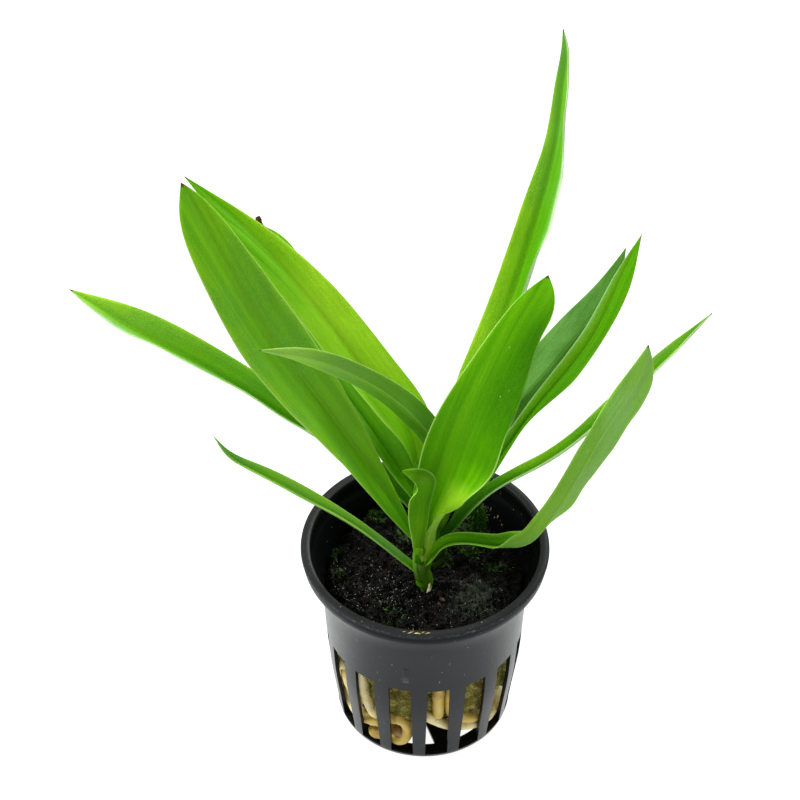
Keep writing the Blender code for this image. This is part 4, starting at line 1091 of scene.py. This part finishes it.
def add_root(name, line, tone, material):
    """A root as rings square to its route, round at both ends, with slow swellings and shallow creases."""
    middle = line[:, :3]
    along = unit(np.gradient(middle, axis=0))
    side = unit(np.cross(along, SIDEWAYS))
    other = np.cross(along, side)
    turns = np.arange(ROOT_SIDES) * 2 * math.pi / ROOT_SIDES
    run = np.arange(len(line)) * ROOT_STEP
    left = np.minimum(run, run[-1] - run) + 0.02
    radius = line[:, 3] * np.sqrt(1 - (1 - np.minimum(left / line[:, 3], 1)) ** 2)
    ways = np.cos(turns)[:, None] * side[:, None] + np.sin(turns)[:, None] * other[:, None]
    rings = middle[:, None] + radius[:, None, None] * ways
    grain = 1 + 0.05 * ripple(rings, 3.2, 31) - 0.05 * np.abs(ripple(rings, 1.1, 32))
    rings = middle[:, None] + radius[:, None, None] * ways * grain[..., None]
    points = rings.reshape(-1, 3)
    ring = np.arange(ROOT_SIDES)
    faces = [grid_faces(len(line), ROOT_SIDES), ring[None, ::-1], (len(points) - ROOT_SIDES + ring)[None]]
    place = np.stack(np.broadcast_arrays(run[:, None], line[:, 3:4] * np.sin(turns), tone), axis=-1)
    replaced = (name,) if name in ROOTS else ()
    add_piece("fine_" + name, points, faces, material, replaced, 80, {"place": place.reshape(-1, 3)})


# Small pieces

def scattered(places, ways, sizes, seed):
    """Octahedra at places: each stretches along its way by its first size, and across it by the other two."""
    random = np.random.default_rng(seed)
    along = unit(ways)
    side = unit(np.cross(along, unit(random.normal(size=along.shape))))
    frame_axes = np.stack([along, side, np.cross(along, side)], axis=1)
    corners = np.vstack([np.eye(3), -np.eye(3)])
    points = places[:, None] + np.einsum("kc,ncd->nkd", corners, frame_axes * sizes[:, :, None])
    shape = np.array([(0, 1, 2), (1, 3, 2), (3, 4, 2), (4, 0, 2), (1, 0, 5), (3, 1, 5), (4, 3, 5), (0, 4, 5)])
    faces = shape + 6 * np.arange(len(places))[:, None, None]
    return points.reshape(-1, 3), faces.reshape(-1, 3)


def strand_lines(starts, ways, lengths, curl, seed):
    """Middle points of strands: each sets off on its way, which turns at random from step to step."""
    random = np.random.default_rng(seed)
    step = (lengths / (STRAND_POINTS - 1))[:, None]
    rows = [starts]
    way = unit(ways)
    for _ in range(STRAND_POINTS - 1):
        way = unit(way + curl * random.normal(size=way.shape))
        rows.append(rows[-1] + way * step)
    return np.stack(rows, axis=1)


def strands(lines, radii):
    """Three-sided tubes along the strands' middle points, thin at both ends."""
    along = unit(np.gradient(lines, axis=1))
    side = unit(np.cross(along, SIDEWAYS))
    other = np.cross(along, side)
    turns = np.arange(3)[:, None] * 2 * math.pi / 3
    ways = np.cos(turns) * side[:, :, None] + np.sin(turns) * other[:, :, None]
    taper = 0.35 + 0.65 * np.sin(math.pi * np.linspace(0, 1, STRAND_POINTS))
    points = lines[:, :, None] + radii[:, None, None, None] * taper[:, None, None] * ways
    size = STRAND_CORNERS
    first = size * np.arange(len(lines))[:, None, None]
    sides = first + grid_faces(STRAND_POINTS, 3)
    ends = first + np.array([(2, 1, 0), (size - 3, size - 2, size - 1)])
    return points.reshape(-1, 3), [sides.reshape(-1, 4), ends.reshape(-1, 3)]


def shades(random, low, high, count, copies):
    """A colour for each point: one draw between two colours for each piece of so many points."""
    part = random.uniform(size=(count, 1)) ** 1.5
    return np.repeat(np.array(low) * (1 - part) + np.array(high) * part, copies, axis=0)


def litter(name, rough, shine=0.4):
    """Plain natural stuff in the colours of the point layer shade, mottled."""
    material, tree = new_material(name)
    _, _, _, colour = attribute(tree, "shade")
    grain = noise(tree, millimetres(tree), 3.0, 2.0)
    colour = blend(tree, span(tree, grain, 0.3, 0.7, 0.35, 0.0), colour, (0.0, 0.0, 0.0))
    shade(tree, {"Base Color": colour, "Roughness": span(tree, grain, 0.3, 0.7, rough, rough + 0.2),
                 "Specular IOR Level": shine})
    return material


def disc_places(random, count, reach=22.2):
    """Even random places on a disc."""
    radius = reach * np.sqrt(random.uniform(size=count))
    turn = random.uniform(0, 2 * math.pi, count)
    return radius * np.cos(turn), radius * np.sin(turn)


def on_peat(x, y, lift):
    return np.stack([x, y, peat_height(x, y) + lift], axis=1)


def near_spot(x, y, spot):
    """1 at the middle of a spot given as x, y and spread, falling off as a bell."""
    return np.exp(-((x - spot[0]) ** 2 + (y - spot[1]) ** 2) / spot[2] ** 2)


def add_crumbs(look):
    """Crumbs of peat all over the plug, and pale grains of grit whose colour paints the glints of wet peat.
    """
    random = np.random.default_rng(41)
    x, y = disc_places(random, CRUMBS)
    sizes = random.uniform(0.16, 0.55, (CRUMBS, 1)) * random.uniform(0.5, 1, (CRUMBS, 3))
    points, faces = scattered(on_peat(x, y, sizes[:, 0] * 0.4), random.normal(size=(CRUMBS, 3)), sizes, 42)
    tone = shades(random, look.peat_deep, look.peat_brown, CRUMBS, 6)
    add_piece("peat_crumbs", points, [faces], litter("crumb", 0.5, 0.1), crease=20,
              layers={"shade": tone})
    # Grit: pale grains whose colour paints glints, gathered on the wet spot and the mound.
    x, y = disc_places(random, GRAINS)
    chance = 0.05 + 0.8 * near_spot(x, y, WET_SPOT) + 0.3 * near_spot(x, y, FIBRE_SPOT)
    wet = random.uniform(size=GRAINS) < chance
    x, y = x[wet], y[wet]
    sizes = random.uniform(0.05, 0.15, (len(x), 1)) * random.uniform(0.4, 1.3, (len(x), 3))
    points, faces = scattered(on_peat(x, y, 0.3), random.normal(size=(len(x), 3)), sizes, 43)
    tone = shades(random, look.grit_dark, look.grit, len(x), 6)
    add_piece("grit", points, [faces], litter("grit", 0.25), crease=20, layers={"shade": tone})


def add_fibres(look):
    """Fibres that lie on the plug, thickest and palest on the mound in front of the shoot."""
    random = np.random.default_rng(51)
    x, y = disc_places(random, FIBRES)
    mound_x, mound_y = random.normal(size=(2, MOUND_FIBRES)) * FIBRE_SPOT[2] * 0.42
    x = np.concatenate([x, mound_x + FIBRE_SPOT[0]])
    y = np.concatenate([y, mound_y + FIBRE_SPOT[1]])
    dense = near_spot(x, y, FIBRE_SPOT)
    kept = (random.uniform(size=len(x)) < 0.1 + 0.9 * dense) & (np.hypot(x, y) < 21.5)
    x, y, dense = x[kept], y[kept], dense[kept]
    count = len(x)
    ways = random.normal(size=(count, 3)) * (1, 1, 0.25)
    reach = random.uniform(0.8, 3.0, count) * (1 - 0.5 * dense)
    lines = strand_lines(on_peat(x, y, 0.1), ways, reach, 0.45, 52)
    ground = peat_height(lines[..., 0], lines[..., 1])
    lift = random.uniform(0.02, 0.55, (count, 1)) * np.sin(math.pi * np.linspace(0, 1, STRAND_POINTS))
    lines[..., 2] = np.maximum(ground + 0.03 + lift * (0.4 + dense[:, None]), ground)
    out = np.hypot(lines[..., 0], lines[..., 1])
    kept = out.max(axis=1) < 22.4
    points, faces = strands(lines[kept], random.uniform(0.014, 0.03, count)[kept])
    pale = shades(random, look.fibre_dark, look.fibre, kept.sum(), STRAND_CORNERS)
    dark = shades(random, look.peat_deep, look.fibre_dark, kept.sum(), STRAND_CORNERS)
    part = np.repeat(dense[kept], STRAND_CORNERS)[:, None]
    tone = dark * (1 - part) + pale * part
    add_piece("fibres", points, faces, litter("fibre", 0.5), layers={"shade": tone})


def add_moss(look):
    """Tufts of moss: stretched leaflets that point up and away from the middle of their tuft."""
    random = np.random.default_rng(61)
    places, ways = [], []
    for x, y, spread, rise, count in MOSS_TUFTS:
        off = random.normal(size=(count, 2)) * spread * 0.5
        out = np.hypot(off[:, 0] + x, off[:, 1] + y)
        off = off[out < 22]
        bell = np.exp(-(off ** 2).sum(axis=1) / spread ** 2)
        lift = random.uniform(0, 1, len(off)) * rise * bell
        places.append(on_peat(off[:, 0] + x, off[:, 1] + y, lift))
        ways.append(np.column_stack([off, np.full(len(off), 0.6)]) + 0.7 * random.normal(size=(len(off), 3)))
    stub = smooth_line(OLD_LEAF["stations"], 1300)
    turn = random.uniform(0, 2 * math.pi, len(stub))
    ring = np.stack([np.cos(turn), np.sin(turn), random.uniform(-0.3, 0.9, len(stub))], axis=1)
    reach = random.uniform(0.3, 1.1, (len(stub), 1)) * stub[:, 3:4] * (1, 0.7, 0)
    places.append(stub[:, :3] + ring * reach)
    ways.append(ring)
    places, ways = np.vstack(places), np.vstack(ways)
    count = len(places)
    sizes = np.stack([random.uniform(0.3, 0.75, count), random.uniform(0.07, 0.17, count),
                      random.uniform(0.03, 0.07, count)], axis=1)
    points, faces = scattered(places, ways, sizes, 62)
    tone = shades(random, look.moss_dark, look.moss, count, 6)
    add_piece("moss", points, [faces], litter("moss", 0.45), layers={"shade": tone})


def add_flakes(look):
    """Specks on the wall, bark and a scrap of sheath by the front shoot, and golden flecks on the rim."""
    random = np.random.default_rng(81)
    across, up = np.array(SPECKS, float).T
    specks = around_axis(inner_radius(up) - 0.1, math.radians(SPECK_TURN) + across / 23.0, up)
    for name, spots, ways, sizes, low, high in (
            ("wall_specks", specks, (0.2, 0.2, 1), (0.6, 0.3, 0.15), look.root_gold, look.moss),
            ("bark", BARK, (0.35, -1, 0.15), (1.8, 0.7, 0.16), look.bark, look.peat_brown),
            ("sheath_scrap", SCRAP, (0.05, -0.3, 1), (1.5, 0.4, 0.15), look.root_cream, look.grit),
            ("rim_flecks", FLECKS, (1, 0.1, 0), (0.8, 0.2, 0.06), look.root_gold, look.root_cream)):
        spots = np.array(spots, float)
        count = len(spots)
        turned = np.array(ways) + 0.25 * random.normal(size=(count, 3)) * (1, 1, 0.3)
        grown = np.array(sizes) * random.uniform(0.6, 1.1, (count, 3))
        points, faces = scattered(spots, turned, grown, 82)
        add_piece(name, points, [faces], litter(name, 0.4), crease=20,
                  layers={"shade": shades(random, low, high, count, 6)})


def add_wool(look):
    """Matted wool round the plug between the roots: short strands that lie along its bulge."""
    random = np.random.default_rng(71)
    turn = random.uniform(0, 2 * math.pi, WOOL_STRANDS)
    height = random.uniform(*WOOL_STARTS, WOOL_STRANDS)
    starts = around_axis(wool_radius(turn, height), turn, height)
    level = np.stack([-np.sin(turn), np.cos(turn), np.zeros(WOOL_STRANDS)], axis=1)
    lean = random.normal(size=(WOOL_STRANDS, 2)) * (0.9, 0.8)
    ways = level * lean[:, :1] + np.array([0, 0, 1]) * lean[:, 1:]
    lines = strand_lines(starts, ways, random.uniform(1.2, 4.2, WOOL_STRANDS), 0.42, 72)
    line_turn = np.arctan2(lines[..., 1], lines[..., 0])
    loose = random.uniform(-0.1, 0.55, (WOOL_STRANDS, 1)) * np.sin(math.pi * np.linspace(0, 1, STRAND_POINTS))
    lines[..., 2] = np.clip(lines[..., 2], *WOOL_LIMITS)
    radius = wool_radius(line_turn, lines[..., 2]) + loose
    radius = np.minimum(radius, inner_radius(lines[..., 2]) - 0.3)
    lines = around_axis(radius, line_turn, lines[..., 2])
    points, faces = strands(lines, random.uniform(0.03, 0.065, WOOL_STRANDS))
    patch = fade(ripple(around_axis(20, turn, height), 9.0, 73), -0.4, 0.4)
    green = shades(random, look.wool_deep, look.wool_green, WOOL_STRANDS, STRAND_CORNERS)
    yellow = shades(random, look.wool_deep, look.wool, WOOL_STRANDS, STRAND_CORNERS)
    part = np.repeat(patch, STRAND_CORNERS)[:, None]
    tone = green * (1 - part) + yellow * part
    add_piece("root_wool", points, faces, litter("wool", 0.6), layers={"shade": tone})


# Settings

def colour_field(name, description, default):
    return bpy.props.FloatVectorProperty(name=name, description=description, subtype="COLOR", size=3,
                                         min=0, max=1, default=default)


def length_field(name, description, default):
    return bpy.props.FloatProperty(name=name, description=description, unit="LENGTH", default=default, min=0)


def share_field(name, description, default):
    return bpy.props.FloatProperty(name=name, description=description, subtype="FACTOR", default=default,
                                   min=0, max=1)


class LeafLook(bpy.types.PropertyGroup):
    """Sizes and colours of the leaves and shoots"""
    thickness: length_field("Thickness", "Thickness of a leaf beside its midrib", 0.00048)
    keel: length_field("Keel", "Half width of the keel under the midrib", 0.0006)
    gloss: share_field("Gloss", "Roughness of the upper side", 0.36)
    translucency: share_field("Translucency", "Share of light that a leaf's skin lets through", 0.32)
    upper: colour_field("Upper", "Upper side of a leaf", (0.185, 0.57, 0.004))
    # Also the painted shade in the midrib's groove.
    upper_deep: colour_field("Upper Deep", "Upper side between its ribs", (0.105, 0.42, 0.0))
    # Painted shade of the upper side.
    upper_shade: colour_field("Upper Shade", "Darkest stretches of the upper side", (0.032, 0.175, 0.0))
    # Painted light on the upper side of a lit or backlit leaf.
    upper_light: colour_field("Upper Light", "Upper side of a light leaf", (0.58, 0.96, 0.04))
    # Painted deep shade of sheaths and shoots near the peat, and of the old leaf.
    deep_shade: colour_field("Deep Shade", "Old sheaths near the peat", (0.006, 0.03, 0.003))
    # Grey colour of the underside: partly its own waxy film and partly painted sheen, and the painted glints
    # on its cells.
    under_bloom_and_sheen: colour_field("Underside Haze", "Waxy bloom of the underside", (0.36, 0.56, 0.24))
    # Painted white reflection on margins that roll over.
    sheen: colour_field("Sheen", "White wax of margins that roll over", (0.8, 0.88, 0.75))
    under: colour_field("Underside", "Underside of a leaf", (0.17, 0.42, 0.01))
    # Painted light on the underside of a lit leaf.
    under_light: colour_field("Light Underside", "Underside of a light leaf", (0.42, 0.72, 0.05))
    # Painted grey sheen of the upper side, a reflection of the white surroundings.
    sheen_haze: colour_field("Haze", "Waxy bloom of the upper side", (0.24, 0.56, 0.14))
    under_deep: colour_field("Underside Deep", "Underside between its ribs", (0.105, 0.31, 0.005))
    # Pale keel, and the margin line that is partly a painted highlight.
    pale: colour_field("Pale", "Midrib and margins", (0.55, 0.85, 0.2))
    through: colour_field("Light Through", "Light that passes through a leaf", (0.46, 0.74, 0.01))
    brown: colour_field("Withered", "Withered tips", (0.09, 0.03, 0.015))
    speck: colour_field("Specks", "Dust and dried drops", (0.4, 0.62, 0.22))
    shoot: colour_field("Shoot", "Sheaths of the shoots", (0.24, 0.5, 0.04))
    shoot_deep: colour_field("Shoot Deep", "Sheaths between their lines", (0.1, 0.28, 0.015))


class PotLook(bpy.types.PropertyGroup):
    """Colours of the pot"""
    plastic: colour_field("Plastic", "Outside of the pot", (0.0065, 0.0088, 0.0105))
    plastic_deep: colour_field("Plastic Deep", "Darker patches of the outside", (0.0055, 0.0078, 0.0095))
    # Painted shade of the inside and of the small mark's upper part, and the dark of the scuff.
    plastic_shade_and_scuff: colour_field("Shaded and Scuffed Plastic", "Wet inside of the pot", (0.003, 0.0035, 0.0035))
    dust: colour_field("Dust", "Dust, scratches and worn edges", (0.3, 0.31, 0.29))
    nub: colour_field("Nub", "Lower part of the small mark on the wall", (0.05, 0.053, 0.055))
    satin: share_field("Satin", "Roughness of the plastic", 0.3)


class PlugLook(bpy.types.PropertyGroup):
    """Colours of the plug and the roots"""
    peat: colour_field("Peat", "Peat", (0.004, 0.004, 0.003))
    peat_deep: colour_field("Peat Deep", "Peat between its crumbs", (0.001, 0.001, 0.001))
    peat_brown: colour_field("Peat Brown", "Brown patches of the peat", (0.009, 0.0065, 0.003))
    wool: colour_field("Wool", "Matted wool between the roots", (0.78, 0.72, 0.22))
    wool_deep: colour_field("Wool Deep", "Shade in the wool", (0.17, 0.14, 0.02))
    wool_green: colour_field("Green Wool", "Greener patches of the wool", (0.5, 0.56, 0.13))
    # Pale grains whose colour paints glints, and the pale end of the sheath scrap's colours.
    grit: colour_field("Grit", "Grains that catch the light", (0.75, 0.78, 0.72))
    grit_dark: colour_field("Dark Grit", "Darker grains", (0.06, 0.07, 0.06))
    fibre: colour_field("Fibres", "Pale fibres on the mound", (0.33, 0.42, 0.29))
    fibre_dark: colour_field("Dark Fibres", "Darker fibres", (0.018, 0.024, 0.014))
    moss: colour_field("Moss", "Fresh moss", (0.08, 0.2, 0.012))
    moss_dark: colour_field("Dark Moss", "Shaded moss", (0.006, 0.025, 0.003))
    bark: colour_field("Bark", "Flakes of bark", (0.05, 0.022, 0.005))
    root_cream: colour_field("Root Cream", "Fresh root skin", (0.88, 0.8, 0.46))
    root_gold: colour_field("Root Gold", "Golden root skin", (0.6, 0.43, 0.07))
    root_brown: colour_field("Root Brown", "Stained root skin", (0.16, 0.07, 0.004))


class StageLook(bpy.types.PropertyGroup):
    """Floor, lights and camera"""
    floor: colour_field("Floor", "Plain pale floor", (0.25, 0.25, 0.25))
    glow: share_field("Floor Glow", "Light from under the floor, as of a light table", 0.93)
    sky: share_field("Sky", "Brightness of the white surroundings", 0.45)
    camera_place: bpy.props.FloatVectorProperty(name="Camera", description="Place of the camera",
                                                unit="LENGTH", default=(-0.0055, -0.3338, 0.4007))
    camera_pitch: bpy.props.FloatProperty(name="Pitch", description="How far the camera looks down",
                                          subtype="ANGLE", default=math.radians(42.7))
    focal_length: bpy.props.FloatProperty(name="Focal Length", description="Focal length of the lens in mm",
                                          default=99.0, min=1)


# Operators

class PLANT_OT_leaves(bpy.types.Operator):
    """Grow every leaf round its midrib"""
    bl_idname = "plant.leaves"
    bl_label = "Leaves"

    def execute(self, context):
        look = context.scene.leaf_look
        material = leaf_green(look)
        for number, (name, leaf) in enumerate(LEAVES.items()):
            add_leaf(name, leaf, number, look, material)
        add_leaf("old_leaf", OLD_LEAF, len(LEAVES), look, material)
        return {"FINISHED"}


class PLANT_OT_shoots(bpy.types.Operator):
    """Grow the two shoots of lapped sheaths"""
    bl_idname = "plant.shoots"
    bl_label = "Shoots"

    def execute(self, context):
        material = shoot_green(context.scene.leaf_look)
        for name in SHOOTS:
            add_shoot(name, material)
        return {"FINISHED"}


class PLANT_OT_pot(bpy.types.Operator):
    """Mould the slotted net pot"""
    bl_idname = "plant.pot"
    bl_label = "Net Pot"

    def execute(self, context):
        points, faces, zone = pot_grid()
        material = pot_plastic(context.scene.pot_look)
        pot = add_piece("moulded_pot", points, faces, material, ("net_pot",), 40, {"zone": zone})
        bevel = pot.modifiers.new("Rounded Edges", "BEVEL")
        bevel.width = EDGE_ROUND * MM
        bevel.segments = 2
        bevel.limit_method = "ANGLE"
        bevel.angle_limit = math.radians(50)
        return {"FINISHED"}


class PLANT_OT_plug(bpy.types.Operator):
    """Pack the plug of peat and wool"""
    bl_idname = "plant.plug"
    bl_label = "Plug"

    def execute(self, context):
        add_plug(peat(context.scene.plug_look))
        return {"FINISHED"}


class PLANT_OT_litter(bpy.types.Operator):
    """Strew crumbs, grit that paints glints, fibres, moss and wool over the plug"""
    bl_idname = "plant.litter"
    bl_label = "Crumbs, Fibres and Moss"

    def execute(self, context):
        look = context.scene.plug_look
        for add_layer in (add_crumbs, add_fibres, add_moss, add_flakes, add_wool):
            add_layer(look)
        return {"FINISHED"}


class PLANT_OT_roots(bpy.types.Operator):
    """Curl the thick roots between the plug and the pot"""
    bl_idname = "plant.roots"
    bl_label = "Roots"

    def execute(self, context):
        material = root_skin(context.scene.plug_look)
        for name, line in root_routes().items():
            add_root(name, line, ROOT_TONES.get(name, PLAIN_TONE), material)
        return {"FINISHED"}


class PLANT_OT_stage(bpy.types.Operator):
    """Set out the pale floor, the soft lights and the camera"""
    bl_idname = "plant.stage"
    bl_label = "Stage"

    def execute(self, context):
        scene = context.scene
        look = scene.stage_look
        bpy.ops.mesh.primitive_plane_add(size=6, location=(0, 0, -0.00005))
        floor = context.active_object
        floor.name = "floor"
        material, tree = new_material("pale_floor")
        shade(tree, {"Base Color": (*look.floor, 1), "Roughness": 0.7, "Emission Color": (1, 1, 1, 1),
                     "Emission Strength": look.glow})
        floor.data.materials.append(material)
        floor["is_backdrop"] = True
        world = bpy.data.worlds.new("white_surroundings")
        world.use_nodes = True
        sky = world.node_tree.nodes["Background"]
        sky.inputs["Color"].default_value = (1, 1, 1, 1)
        sky.inputs["Strength"].default_value = look.sky
        scene.world = world
        for name, place, size, power in LIGHTS:
            light = bpy.data.lights.new(name, "AREA")
            light.size = size
            light.energy = power
            lamp = bpy.data.objects.new(name, light)
            lamp.location = place
            lamp.rotation_euler = (LIGHT_TARGET - Vector(place)).to_track_quat("-Z", "Y").to_euler()
            scene.collection.objects.link(lamp)
        lens = bpy.data.cameras.new("camera")
        lens.lens = look.focal_length
        lens.sensor_width = 36
        lens.clip_start = 0.01
        camera = bpy.data.objects.new("camera", lens)
        camera.location = look.camera_place
        camera.rotation_euler = (math.pi / 2 - look.camera_pitch, 0, 0)
        scene.collection.objects.link(camera)
        scene.camera = camera
        scene.view_settings.view_transform = "Standard"
        return {"FINISHED"}


class PLANT_PT_panel(bpy.types.Panel):
    """Lists the steps that build the plant"""
    bl_idname = "PLANT_PT_panel"
    bl_label = "Potted Ladies Tresses"
    bl_space_type = "VIEW_3D"
    bl_region_type = "UI"
    bl_category = "Plant"

    def draw(self, context):
        for operator in OPERATORS:
            self.layout.operator(operator.bl_idname)


OPERATORS = (PLANT_OT_pot, PLANT_OT_plug, PLANT_OT_litter, PLANT_OT_roots, PLANT_OT_shoots,
             PLANT_OT_leaves, PLANT_OT_stage)
LOOKS = {"leaf_look": LeafLook, "pot_look": PotLook, "plug_look": PlugLook, "stage_look": StageLook}


def register():
    for name, look in LOOKS.items():
        bpy.utils.register_class(look)
        setattr(bpy.types.Scene, name, bpy.props.PointerProperty(type=look))
    for thing in (*OPERATORS, PLANT_PT_panel):
        bpy.utils.register_class(thing)


def unregister():
    for thing in reversed((*OPERATORS, PLANT_PT_panel)):
        bpy.utils.unregister_class(thing)
    for name, look in reversed(LOOKS.items()):
        delattr(bpy.types.Scene, name)
        bpy.utils.unregister_class(look)


def corners():
    """The model's box as plain lists, its lowest corner first."""
    return [list(corner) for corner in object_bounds()]


def main():
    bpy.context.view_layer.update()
    register()
    for operator in OPERATORS:
        group, name = operator.bl_idname.split(".")
        getattr(getattr(bpy.ops, group), name)()


if __name__ == "__main__":
    main()
